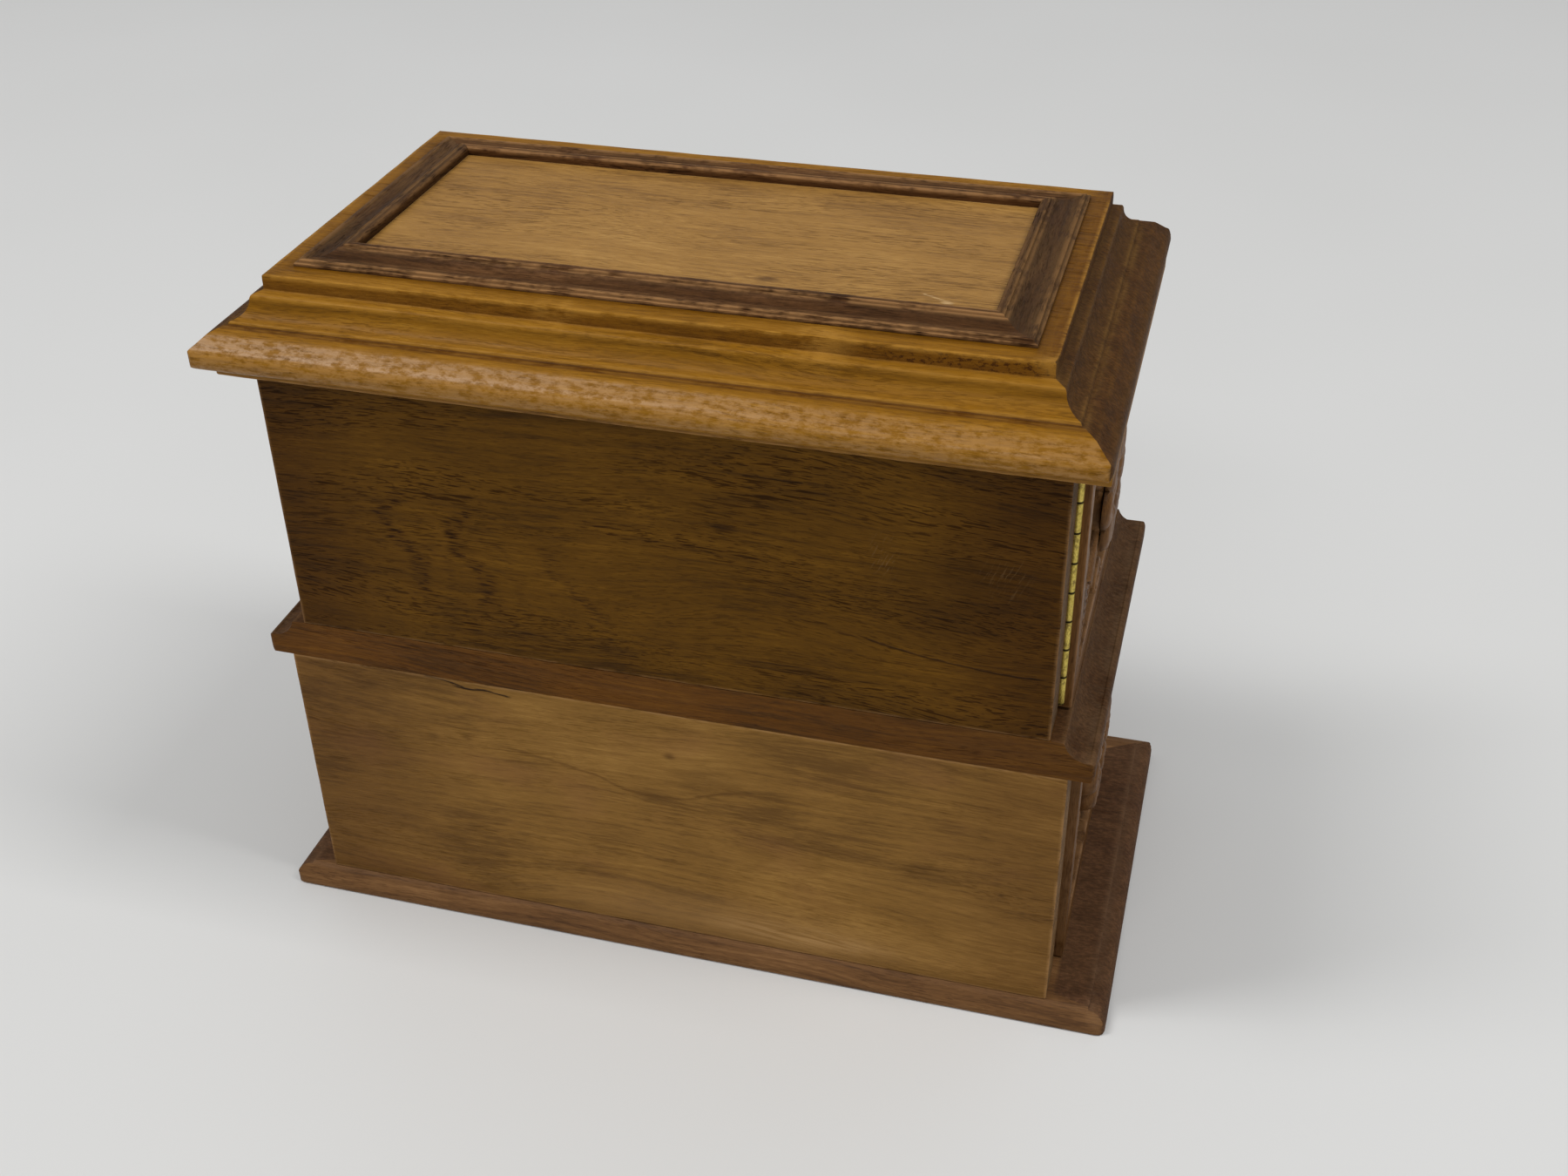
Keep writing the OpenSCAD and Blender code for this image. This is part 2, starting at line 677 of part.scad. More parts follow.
base_board();
base_screws();
lower_back_board();
lower_front_board();
lower_partition();
lower_front_fret();
mid_board();
upper_back_board();
upper_front_board();
upper_partition();
upper_front_fret();
front_rosettes();
shelf_left();
shelf_right();
top_board();
lid_board();
lid_frame_back();
lid_frame_front();
lid_frame_left();
lid_frame_right();
lid_panel();
drawer_stop_pins();
hinge_case_nails();
door_stiles("left");  // door_left_stiles
door_rails("left");  // door_left_rails
door_fret("left");  // door_left_fret
door_rosette("left");  // door_left_rosette
door_catch("left");  // door_left_catch
hinge_case_leaf("left");  // hinge_left_case_leaf
hinge_door_leaf("left");  // hinge_left_door_leaf
hinge_pin("left");  // hinge_left_pin
hinge_door_nails("left");  // hinge_left_door_nails
door_stiles("right");  // door_right_stiles
door_rails("right");  // door_right_rails
door_fret("right");  // door_right_fret
door_rosette("right");  // door_right_rosette
door_catch("right");  // door_right_catch
hinge_case_leaf("right");  // hinge_right_case_leaf
hinge_door_leaf("right");  // hinge_right_door_leaf
hinge_pin("right");  // hinge_right_pin
hinge_door_nails("right");  // hinge_right_door_nails
drawer_front("left");  // drawer_left_front
drawer_fret("left");  // drawer_left_fret
drawer_rosette("left");  // drawer_left_rosette
drawer_sides("left");  // drawer_left_sides
drawer_back("left");  // drawer_left_back
drawer_bottom("left");  // drawer_left_bottom
drawer_felt("left");  // drawer_left_felt
drawer_key("left");  // drawer_key_left
drawer_front("right");  // drawer_right_front
drawer_fret("right");  // drawer_right_fret
drawer_rosette("right");  // drawer_right_rosette
drawer_sides("right");  // drawer_right_sides
drawer_back("right");  // drawer_right_back
drawer_bottom("right");  // drawer_right_bottom
drawer_felt("right");  // drawer_right_felt
drawer_key("right");  // drawer_key_right
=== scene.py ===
import json
import math

import bmesh
import bpy
import numpy as np
from mathutils import Matrix, Vector, noise

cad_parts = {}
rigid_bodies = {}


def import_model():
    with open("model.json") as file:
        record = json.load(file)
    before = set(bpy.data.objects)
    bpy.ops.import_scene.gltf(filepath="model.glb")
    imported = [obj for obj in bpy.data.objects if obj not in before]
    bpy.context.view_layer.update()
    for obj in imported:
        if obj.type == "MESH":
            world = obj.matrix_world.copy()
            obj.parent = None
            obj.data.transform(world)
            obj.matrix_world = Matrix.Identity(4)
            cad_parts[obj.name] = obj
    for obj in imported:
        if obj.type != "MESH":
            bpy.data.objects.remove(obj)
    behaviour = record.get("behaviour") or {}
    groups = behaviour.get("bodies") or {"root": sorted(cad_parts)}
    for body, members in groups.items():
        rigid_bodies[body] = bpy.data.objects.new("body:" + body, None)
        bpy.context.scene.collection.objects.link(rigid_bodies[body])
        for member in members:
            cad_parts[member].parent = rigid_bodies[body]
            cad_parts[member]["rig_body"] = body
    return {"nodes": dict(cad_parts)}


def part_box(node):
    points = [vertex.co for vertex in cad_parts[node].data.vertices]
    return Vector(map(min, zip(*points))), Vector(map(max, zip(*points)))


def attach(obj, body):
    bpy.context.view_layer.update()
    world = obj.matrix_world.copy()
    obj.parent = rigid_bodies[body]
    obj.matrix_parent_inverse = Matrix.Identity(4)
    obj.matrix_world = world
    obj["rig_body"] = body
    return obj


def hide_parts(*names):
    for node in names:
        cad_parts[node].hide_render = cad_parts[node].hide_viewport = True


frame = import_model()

MM = 0.001
LAMP_AIM = Vector((0, 0, 0.09))
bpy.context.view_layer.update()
scene = bpy.context.scene
scene.view_settings.view_transform = "Standard"


# ---- Camera, floor and lights ----

def camera():
    data = bpy.data.cameras.new("camera")
    data.lens, data.sensor_width = 41.3, 36.0
    data.shift_x, data.shift_y = -0.0036, 0.0087
    data.clip_start, data.clip_end = 0.02, 20.0
    obj = bpy.data.objects.new("camera", data)
    scene.collection.objects.link(obj)
    right = Vector((-0.96493, -0.26236, -0.00849))
    up = Vector((0.14116, -0.54591, 0.82587))
    back = Vector((-0.22131, 0.79571, 0.56380))
    turn = Matrix((right, up, back)).transposed().to_4x4()
    obj.matrix_world = Matrix.Translation(Vector((-122.1, 381.6, 350.7)) * MM) @ turn
    scene.camera = obj


def area_light(name, place, size, power):
    """A soft lamp that points at the middle of the box."""
    data = bpy.data.lights.new(name, "AREA")
    data.shape, data.size, data.size_y = "RECTANGLE", size[0], size[1]
    data.energy = power
    obj = bpy.data.objects.new(name, data)
    scene.collection.objects.link(obj)
    obj.location = place
    obj.rotation_mode = "QUATERNION"
    obj.rotation_quaternion = (LAMP_AIM - Vector(place)).to_track_quat("-Z", "Y")


def lighting():
    area_light("left_lamp", (1.15, 0.5, 2.3), (0.5, 1.2), 24)
    area_light("right_lamp", (-1.35, 0.1, 2.2), (0.5, 1.2), 23)
    area_light("near_lamp", (0.3, 2.4, 2.2), (1.6, 0.4), 13)
    world = bpy.data.worlds.new("world")
    world.use_nodes = True
    world.node_tree.nodes["Background"].inputs["Color"].default_value = (0.98, 0.985, 1.0, 1)
    world.node_tree.nodes["Background"].inputs["Strength"].default_value = 0.38
    scene.world = world


# ---- Materials ----

class Nodes:
    """Short ways to add shader nodes to one material."""

    def __init__(self, name):
        self.material = bpy.data.materials.new(name)
        self.material.use_nodes = True
        self.tree = self.material.node_tree
        self.shader = self.tree.nodes["Principled BSDF"]

    def put(self, socket, value):
        if isinstance(value, bpy.types.NodeSocket):
            self.tree.links.new(value, socket)
        elif isinstance(value, tuple) and len(value) == 3 and socket.type == "RGBA":
            socket.default_value = (*value, 1)
        else:
            socket.default_value = value

    def add(self, kind, out=0, props=(), **inputs):
        node = self.tree.nodes.new("ShaderNode" + kind)
        for key, value in dict(props).items():
            setattr(node, key, value)
        for key, value in inputs.items():
            key = int(key[1:]) if key[0] == "i" and key[1:].isdigit() else key.replace("_", " ")
            self.put(node.inputs[key], value)
        return node.outputs[out]

    def math(self, op, a, b=0.0, c=0.0):
        return self.add("Math", props={"operation": op}, i0=a, i1=b, i2=c)

    def times(self, *values):
        total = values[0]
        for value in values[1:]:
            total = self.math("MULTIPLY", total, value)
        return total

    def plus(self, *values):
        total = values[0]
        for value in values[1:]:
            total = self.math("ADD", total, value)
        return total

    def swing(self, value, amount):
        """How far a noise is from its middle, times an amount."""
        return self.times(self.plus(value, -0.5), amount)

    def step(self, x, low, high, to_low=0.0, to_high=1.0):
        return self.add("MapRange", props={"interpolation_type": "SMOOTHSTEP"},
                        i0=x, i1=low, i2=high, i3=to_low, i4=to_high)

    def mix(self, factor, a, b):
        return self.add("Mix", out=2, props={"data_type": "RGBA"}, i0=factor, i6=a, i7=b)

    def shade(self, factor, color, by):
        """color darkened or tinted by a colour, as far as factor says."""
        return self.add("Mix", out=2, props={"data_type": "RGBA", "blend_type": "MULTIPLY"},
                        i0=factor, i6=color, i7=by)

    def vector(self, x, y, z):
        return self.add("CombineXYZ", i0=x, i1=y, i2=z)

    def noise(self, vector, scale=1.0, detail=2.0, rough=0.5, out=0):
        return self.add("TexNoise", out=out, Vector=vector, Scale=scale, Detail=detail,
                        Roughness=rough)

    def streaks(self, place, scales, detail=2.0, rough=0.5):
        """Noise over three coordinates, each with its own scale."""
        return self.noise(self.vector(*map(self.times, place, scales)), 1.0, detail, rough)

    def split(self, vector):
        node = self.tree.nodes.new("ShaderNodeSeparateXYZ")
        self.put(node.inputs[0], vector)
        return list(node.outputs)

    def place(self):
        """x, y and z in millimetres in the object's own rest frame."""
        coords = self.add("TexCoord", out=3)
        scaled = self.add("VectorMath", props={"operation": "SCALE"}, i0=coords, i3=1000.0)
        return self.split(scaled)

    def mark(self, name):
        return self.add("Attribute", out=2, props={"attribute_name": name})

    def band(self, along, across, points, width):
        """Mask of a soft line through (along, across) points."""
        points = sorted(points)
        a0, a1 = points[0][0], points[-1][0]
        b0 = min(p[1] for p in points)
        b1 = max(max(p[1] for p in points), b0 + 0.1)
        t = self.step_linear(along, a0, a1)
        node = self.tree.nodes.new("ShaderNodeFloatCurve")
        self.put(node.inputs[1], t)
        curve = node.mapping.curves[0]
        shaped = [((p[0] - a0) / (a1 - a0), (p[1] - b0) / (b1 - b0)) for p in points]
        curve.points[0].location, curve.points[1].location = shaped[0], shaped[-1]
        for p in shaped[1:-1]:
            curve.points.new(*p)
        node.mapping.update()
        centre = self.plus(self.times(node.outputs[0], b1 - b0), b0)
        off = self.math("ABSOLUTE", self.math("SUBTRACT", across, centre))
        inside = self.step(off, width, width * 0.25)
        return self.times(inside, self.step(t, 0.0, 0.12), self.step(t, 1.0, 0.88))

    def step_linear(self, x, low, high):
        return self.add("MapRange", i0=x, i1=low, i2=high)

    def spot(self, a, b, centre, radii, hard=0.2):
        """Mask of a soft oval."""
        u = self.math("DIVIDE", self.math("SUBTRACT", a, centre[0]), radii[0])
        v = self.math("DIVIDE", self.math("SUBTRACT", b, centre[1]), radii[1])
        far = self.math("SQRT", self.plus(self.times(u, u), self.times(v, v)))
        return self.step(far, 1.0, hard)

    def surface(self, color, rough, height, strength=0.4, depth=0.12, **constants):
        s = self.shader
        self.put(s.inputs["Base Color"], color)
        self.put(s.inputs["Roughness"], rough)
        self.put(s.inputs["Normal"], self.add("Bump", Strength=strength, Distance=depth * MM,
                                              Height=height))
        for key, value in constants.items():
            s.inputs[key.replace("_", " ")].default_value = value
        return self.material


HEART = (70, -40)
NOSE_LOW, NOSE_HIGH = 163.5, 172.9


def wood(name, axis, seed, light, mid, dark, *, rough=0.5, coat=0.0, pore=0.6, figure=0.5,
         end=None, end_amount=0.8, worn=(0.36, 0.21, 0.1), worn_amount=0.7,
         dust_and_shade=(0.2, 0.15, 0.11), dust_and_shade_amount=0.6, marks=None, blotch=0.8, spec=0.15,
         side_dust_and_shade=1.0, nose=False):
    """Wood with its grain along an axis and its rings round HEART; colours are linear. end tints
    the end grain, worn the arrises that the mesh marks, and the hollow colour the hollows it marks:
    dusty grey in most woods, painted shade where that colour is near-black. marks adds what one
    board alone has, and nose polishes the lid's rounded edge and paints a lighter highlight on it."""
    n = Nodes(name)
    x, y, z = n.place()
    along, t1, t2 = {"X": (x, y, z), "Y": (y, x, z), "Z": (z, x, y)}[axis]
    along = n.plus(along, seed * 37.3)
    t1, t2 = n.plus(t1, seed * 11.7), n.plus(t2, seed * 5.9)
    slow = n.vector(n.times(t1, 0.022), n.times(t2, 0.022), n.times(along, 0.007))
    sway = n.split(n.noise(slow, 1.0, 2.0, 0.5, out=1))
    w1 = n.plus(t1, n.swing(sway[0], 22.0))
    w2 = n.plus(t2, n.swing(sway[1], 22.0))
    h1 = n.plus(w1, -HEART[0] - seed * 11.7)
    h2 = n.plus(w2, -HEART[1] - seed * 5.9)
    radius = n.math("SQRT", n.plus(n.times(h1, h1), n.times(h2, h2)))
    rings = n.noise(n.vector(n.times(radius, 0.45), 0.0, n.times(along, 0.004)), 1.0, 3.0, 0.55)
    fibre = n.streaks((w1, w2, along), (0.9, 0.9, 0.03), 3.0, 0.55)
    hair = n.streaks((t1, t2, along), (3.6, 3.6, 0.3), 2.0, 0.6)
    dash = n.streaks((w1, w2, along), (2.0, 2.0, 0.12), 1.0, 0.5)
    tick = n.streaks((w1, w2, along), (2.9, 2.9, 0.3), 1.0)
    where = n.streaks((w1, w2, along), (0.1, 0.1, 0.016), 2.0)
    crowd = n.step(where, 0.38, 0.62)
    pores = n.math("MAXIMUM", n.times(n.step(dash, 0.58, 0.66), n.plus(0.15, n.times(crowd, 0.85))),
                   n.times(n.step(tick, 0.58, 0.66), n.plus(0.35, n.times(crowd, 0.5))))
    clouds = n.streaks((t1, t2, along), (0.045, 0.045, 0.022), 3.0, 0.55)
    tone = n.plus(0.5, n.swing(rings, figure * 1.5),
                  n.swing(fibre, 0.62), n.swing(hair, 0.5),
                  n.swing(clouds, blotch))
    color = n.mix(n.step(tone, 0.2, 0.55), dark, mid)
    color = n.mix(n.step(tone, 0.5, 0.85), color, light)
    color = n.shade(n.times(pores, pore), color, (0.3, 0.25, 0.22))
    extra_rough, extra_height = 0.0, 0.0
    if marks:
        color, extra_rough, extra_height = marks(n, (x, y, z), color, hair, fibre, tick)
    facing = n.split(n.add("TexCoord", out=1))["XYZ".index(axis)]
    cut = n.math("MAXIMUM", n.step(n.math("ABSOLUTE", facing), 0.45, 0.85), n.mark("ends"))
    cut = n.times(cut, end_amount)
    tint = tuple(c * 0.62 for c in mid) if end is None else end
    speck = n.streaks((t1, t2, along), (1.5, 1.1, 0.6), 4.0, 0.72)
    mottle = n.streaks((t1, t2, along), (0.16, 0.3, 0.12), 3.0, 0.6)
    ends = n.mix(n.step(speck, 0.4, 0.66), tuple(c * 0.66 for c in tint), tuple(c * 1.42 for c in tint))
    ends = n.shade(n.times(n.step(mottle, 0.42, 0.62), 0.6), ends, (0.55, 0.5, 0.48))
    color = n.mix(cut, color, ends)
    patch = n.streaks((x, y, z), (0.11, 0.11, 0.11), 3.0, 0.65)
    grit = n.noise(n.vector(x, y, z), 0.9, 3.0, 0.7)
    # Hollows the mesh marks take the hollow colour: dusty grey in most woods, painted shade in frame_wood_x
    # and the carving woods, whose hollow colour is near-black.
    grime_and_shade = n.times(n.mark("dust_and_shade"), n.step(n.plus(patch, n.times(grit, 0.5)), 0.45, 0.9), dust_and_shade_amount,
                    n.plus(side_dust_and_shade, n.times(n.mark("ends"), 1.0 - side_dust_and_shade)))
    color = n.mix(n.times(grime_and_shade, n.step(speck, 0.3, 0.62, 0.45, 1.0)), color, dust_and_shade)
    rub = n.times(n.mark("worn"), n.step(n.plus(n.times(patch, 0.8), n.times(hair, 0.4)), 0.45, 0.68),
                  worn_amount, n.plus(1.0, n.times(n.mark("ends"), -0.7)))
    color = n.mix(rub, color, worn)
    shine = n.plus(rough, n.swing(fibre, 0.3), n.times(pores, 0.25), n.times(cut, 0.18),
                   n.times(grime_and_shade, 0.3), n.swing(patch, 0.18), extra_rough)
    height = n.plus(n.times(fibre, 0.25), n.times(hair, 0.3), n.times(pores, -0.8),
                    n.times(speck, n.times(cut, 0.9)), n.times(grime_and_shade, grit), extra_height)
    if nose:
        rubbed = n.streaks((x, y, z), (0.35, 0.5, 0.9), 4.0, 0.7)
        polish_and_highlight = n.times(n.step(z, NOSE_LOW, NOSE_LOW + 2.0), n.step(z, NOSE_HIGH, NOSE_HIGH - 1.9),
                         n.step(rubbed, 0.35, 0.6), n.plus(1.0, n.times(cut, -1.0)))
        # A lighter warm colour on the rubbed nose: partly rubbed wood, partly a painted highlight. The same
        # mask also raises the coat.
        color = n.mix(n.times(polish_and_highlight, 0.3), color, (0.52, 0.27, 0.075))
        n.put(n.shader.inputs["Coat Weight"], n.plus(coat, n.times(polish_and_highlight, 0.4)))
        height = n.plus(height, n.times(rubbed, polish_and_highlight, 0.8))
        return n.surface(color, shine, height, Coat_Roughness=0.3, Specular_IOR_Level=spec)
    return n.surface(color, shine, height, Coat_Weight=coat, Coat_Roughness=0.3,
                     Specular_IOR_Level=spec)


BACK_FACE = (52.0, 53.2)


def upper_marks(n, place, color, hair, fibre, tick):
    """Swirled figure, a small knot and light scratches on the upper back board."""
    x, y, z = place
    bands = [
        ([(103, 63.5), (110, 61.5), (116, 62.5), (121, 67.5), (126, 69.8), (131, 66.5), (136, 61.5)], 3.4),
        ([(102, 45.5), (108, 44.5), (114, 46), (119, 51), (125, 52), (129, 49), (133, 42.5)], 3.6),
        ([(102, 12.5), (109, 19.5), (116, 26), (124, 29)], 3.2),
        ([(106, 55), (113, 54), (119, 58.5), (125, 60)], 1.6),
        ([(100, 35), (108, 36), (117, 39.5), (126, 40)], 1.8),
    ]
    total = 0.0
    for i, (points, width) in enumerate(bands):
        ragged = n.plus(x, n.swing(fibre, 9.0), n.swing(hair, 3.0))
        band = n.band(z, ragged, points, width)
        total = n.math("MAXIMUM", total, n.times(band, (1.0, 0.95, 0.6, 0.35, 0.35)[i]))
    color = n.shade(n.times(total, 0.32), color, (0.55, 0.5, 0.5))
    color = n.shade(n.times(total, n.step(tick, 0.47, 0.6), 0.85), color, (0.36, 0.3, 0.28))
    face = n.step(y, *BACK_FACE)
    knot = n.times(n.spot(x, z, (-15.4, 135.9), (4.4, 1.8)), face)
    color = n.shade(n.times(knot, 0.75), color, (0.35, 0.3, 0.3))
    dim = n.math("MAXIMUM", n.spot(x, z, (-66, 125), (26, 22)), n.times(n.step(z, 100.0, 89.0), 0.7))
    color = n.shade(n.times(dim, 0.55), color, (0.6, 0.58, 0.6))
    edge = n.math("MAXIMUM", n.step(x, 62.0, 97.0), n.step(x, -52.0, -88.0))
    color = n.shade(n.times(edge, 0.95), color, (0.62, 0.56, 0.54))
    line = n.step(n.noise(n.vector(n.times(n.plus(x, n.times(z, 0.45)), 1.6), 0.0, n.times(z, 0.2)),
                          1.0, 4.0, 0.7), 0.52, 0.66)
    rubs = n.math("MAXIMUM", n.spot(x, z, (-52.5, 134), (4.5, 9)),
                  n.times(n.spot(x, z, (-80, 133), (8, 9)), 0.7))
    rubs = n.times(rubs, line, face)
    color = n.mix(n.times(rubs, 0.4), color, (0.24, 0.14, 0.06))
    split = n.times(n.band(x, n.plus(z, n.swing(hair, 0.8)),
                           [(-93, 107), (-84, 106.6), (-70, 107.5), (-56, 109.5), (-46, 112)], 0.42), face)
    color = n.shade(n.times(split, 0.8), color, (0.22, 0.18, 0.18))
    return color, n.times(rubs, 0.2), n.times(split, -2.0)


def lower_marks(n, place, color, hair, fibre, tick):
    """A crack, knots and stains on the lower back board."""
    x, y, z = place
    face = n.step(y, *BACK_FACE)
    wander = n.plus(z, n.swing(hair, 0.6))
    crack = n.math("MAXIMUM",
                   n.band(x, wander, [(41.5, 76.5), (46, 77), (49, 77.4), (54, 77), (58.6, 78.7)], 0.42),
                   n.band(x, wander, [(54, 77.1), (58, 78.2), (63, 79.0), (66, 79.0)], 0.34))
    crack = n.times(crack, face)
    spots = [((0.7, 66.0), (2.6, 1.7), 0.75), ((65.4, 59.7), (3.0, 1.6), 0.4),
             ((55.7, 61.2), (2.4, 2.0), 0.4), ((5.7, 52.6), (9, 3.0), 0.32),
             ((50.1, 21.5), (4.2, 1.1), 0.5), ((22.1, 21.4), (14, 4), 0.25),
             ((-84.5, 39.4), (1.3, 1.0), 0.6), ((-64.7, 42.8), (12, 6), 0.28),
             ((-10, 60), (14, 8), 0.35)]
    stain = 0.0
    for centre, radii, amount in spots:
        stain = n.math("MAXIMUM", stain, n.times(n.spot(x, z, centre, radii, 0.0), amount))
    color = n.shade(n.times(stain, face), color, (0.32, 0.26, 0.24))
    warm = n.noise(n.vector(n.times(x, 0.025), 0.0, n.times(z, 0.05)), 1.0, 2.0)
    color = n.mix(n.times(n.step(warm, 0.52, 0.75), 0.3), color, (0.27, 0.12, 0.045))
    low = n.times(n.spot(x, z, (-12, 10), (75, 16)), 0.35)
    color = n.mix(low, color, (0.36, 0.2, 0.075))
    glow = n.times(n.spot(x, z, (-32, 12), (34, 5)), n.step(fibre, 0.4, 0.6))
    color = n.mix(n.times(glow, 0.5), color, (0.48, 0.28, 0.11))
    edge = n.math("MAXIMUM", n.step(x, 48.0, 94.0), n.times(n.step(x, -52.0, -97.0), 0.8))
    color = n.shade(n.times(edge, 0.75), color, (0.56, 0.5, 0.5))
    streak = n.band(x, n.plus(z, n.swing(fibre, 2.0)),
                    [(-40, 57), (-20, 58), (5, 52), (22, 56), (52, 61)], 0.7)
    color = n.shade(n.times(streak, 0.4), color, (0.35, 0.28, 0.26))
    color = n.shade(n.times(n.step(z, 12.0, 6.5), 0.4), color, (0.5, 0.45, 0.42))
    color = n.shade(n.times(crack, 0.95), color, (0.09, 0.07, 0.07))
    return color, 0.0, n.times(crack, -3.0)


def lid_marks(n, place, color, hair, fibre, tick):
    """Saw marks on the riser under the lid's flat top, painted shade along the riser's foot and in
    the quirk below it, painted shade darkening the flat top's ends, and a painted shadow along its
    inner line next to the frame."""
    x, y, z = place
    high, low, middle = 183.2, 179.7, 3.6
    rim = n.times(n.step(z, low - 0.2, low + 0.4), n.step(z, high + 0.1, high - 0.5))
    chip = n.streaks((x, y, z), (0.7, 0.5, 1.2), 4.0, 0.75)
    rough_part = n.plus(0.2, n.times(n.step(x, -42.0, -56.0), 0.8))
    # Painted shade in the crease at the riser's foot.
    foot_shade = n.times(rim, n.step(z, low + 1.4, low + 0.2))
    color = n.shade(n.times(rim, 0.5), color, (0.66, 0.52, 0.3))
    color = n.shade(n.times(foot_shade, 0.4), color, (0.45, 0.34, 0.24))
    color = n.shade(n.times(rim, n.step(chip, 0.5, 0.6), rough_part), color, (0.36, 0.28, 0.22))
    # Painted shade in the quirk groove.
    quirk = n.times(n.step(z, 172.75, 173.0), n.step(z, 173.5, 173.2))
    color = n.shade(n.times(quirk, 0.85), color, (0.3, 0.2, 0.14))
    # The flat top's end borders are darkened as painted shade, most at the -X end; the streak below adds
    # darker grain streaks inside that shade.
    flat = n.step(z, high - 0.4, high - 0.05)
    tail = n.plus(0.35, n.times(n.step(x, -60.0, -84.0), 0.65))
    off = n.math("ABSOLUTE", n.plus(x, -middle))
    shaded_ends = n.times(flat, n.step(off, 82.0, 91.0), tail)
    color = n.shade(shaded_ends, color, (0.52, 0.45, 0.34))
    streak = n.noise(n.vector(n.times(x, 0.8), n.times(y, 0.12), 0.0), 1.0, 2.0, 0.6)
    color = n.shade(n.times(shaded_ends, n.step(streak, 0.5, 0.62), 0.35), color, (0.5, 0.42, 0.34))
    # Painted shadow on the flat top along the frame.
    frame_shadow = n.times(flat, n.step(off, 88.4, 85.6), n.step(n.math("ABSOLUTE", y), 45.2, 43.0))
    color = n.shade(n.times(frame_shadow, 0.6), color, (0.4, 0.34, 0.28))
    return color, n.times(rim, 0.2), n.times(rim, n.times(chip, 1.6))


def mid_marks(n, place, color, hair, fibre, tick):
    """The mid board's edge is duller towards the hinged end."""
    x, _, _ = place
    color = n.shade(n.times(n.step(x, -20.0, -92.0), 0.7), color, (0.62, 0.62, 0.8))
    return color, 0.0, 0.0


def panel_marks(n, place, color, hair, fibre, tick):
    """A knot, dark pore clusters and light scratches on the lid's inset panel."""
    x, y, _ = place
    knot = n.spot(x, y, (-18.1, 24.0), (4.2, 2.0))
    halo = n.spot(x, y, (-18, 24.5), (26, 5))
    ragged = n.step(n.noise(n.vector(n.times(x, 0.2), n.times(y, 1.3), 0.0), 1.0, 3.0, 0.6), 0.42, 0.6)
    color = n.shade(n.times(knot, 0.75), color, (0.3, 0.24, 0.2))
    color = n.shade(n.times(halo, ragged, 0.4), color, (0.4, 0.3, 0.24))
    wobble = n.plus(y, n.swing(hair, 1.2))
    rubbed = n.math("MAXIMUM", n.band(x, wobble, [(-61, 26.6), (-57, 24.8), (-53, 22.8)], 0.55),
                    n.spot(x, wobble, (-59.5, 26.6), (2.0, 1.1)))
    corner = n.spot(x, wobble, (-66.0, 30.2), (4.0, 1.6))
    rubbed = n.times(n.math("MAXIMUM", rubbed, corner), n.step(hair, 0.35, 0.6))
    color = n.mix(n.times(rubbed, 0.6), color, (0.62, 0.42, 0.2))
    return color, n.times(rubbed, -0.1), 0.0


def brass_material(hinge_z, pitch):
    n = Nodes("aged_brass")
    x, y, z = n.place()
    spot = n.noise(n.vector(x, y, z), 0.7, 4.0, 0.65)
    fine = n.noise(n.vector(n.times(x, 3.0), n.times(y, 3.0), z), 1.6, 3.0, 0.6)
    turn = n.math("FRACT", n.math("DIVIDE", n.plus(z, -hinge_z), pitch))
    seam = n.step(n.math("ABSOLUTE", n.plus(turn, -0.5)), 0.45, 0.475)
    color = n.mix(n.step(fine, 0.3, 0.7), (0.46, 0.34, 0.06), (0.8, 0.64, 0.16))
    color = n.mix(n.times(n.step(spot, 0.5, 0.7), 0.8), color, (0.16, 0.1, 0.035))
    color = n.mix(n.times(seam, 0.93), color, (0.02, 0.014, 0.008))
    rough = n.plus(0.34, n.times(spot, 0.3), n.times(seam, 0.3))
    return n.surface(color, rough, n.plus(fine, n.times(seam, -2.0)), 0.3, 0.06, Metallic=0.85)


def steel_material():
    n = Nodes("dull_steel")
    x, y, z = n.place()
    fine = n.streaks((x, y, z), (2.0, 2.0, 2.0), 4.0, 0.65)
    color = n.mix(n.step(fine, 0.35, 0.7), (0.2, 0.17, 0.15), (0.5, 0.5, 0.5))
    return n.surface(color, n.plus(0.35, n.times(fine, 0.3)), fine, 0.3, 0.05, Metallic=0.9)


def felt_material():
    n = Nodes("wool_felt")
    x, y, z = n.place()
    fluff = n.noise(n.vector(x, y, z), 1.6, 5.0, 0.75)
    cloud = n.streaks((x, y, z), (0.07, 0.07, 0.07), 2.0)
    color = n.mix(n.step(fluff, 0.3, 0.7), (0.11, 0.012, 0.02), (0.3, 0.04, 0.06))
    color = n.mix(n.times(n.step(cloud, 0.4, 0.7), 0.4), color, (0.22, 0.05, 0.05))
    return n.surface(color, n.plus(0.8, n.times(fluff, 0.2)), fluff, 0.8, 0.4, Sheen_Weight=0.5)


def floor_material():
    n = Nodes("pale_table")
    x, y, _ = n.place()
    cloud = n.noise(n.vector(n.times(x, 0.004), n.times(y, 0.004), 0.0), 1.0, 2.0)
    color = n.mix(cloud, (0.66, 0.66, 0.645), (0.71, 0.71, 0.70))
    return n.surface(color, 0.55, cloud, 0.05, 0.05)


# ---- Mesh helpers: everything below is in millimetres until it is made into a piece ----

def mm_box(node):
    """A node's lowest and highest corners in millimetres."""
    low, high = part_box(node)
    return np.array(low) / MM, np.array(high) / MM


def arc(cx, cz, r, a0, a1, n=8):
    return [(cx + r * math.cos(math.radians(a0 + (a1 - a0) * i / n)),
             cz + r * math.sin(math.radians(a0 + (a1 - a0) * i / n))) for i in range(n + 1)]


def chance(point, scale, seed=0.0):
    """Smooth noise from 0 to 1 at a point."""
    x, y, z = (c * scale for c in point)
    return 0.5 + 0.5 * noise.noise(Vector((x + seed, y - seed, z + 0.5 * seed)))


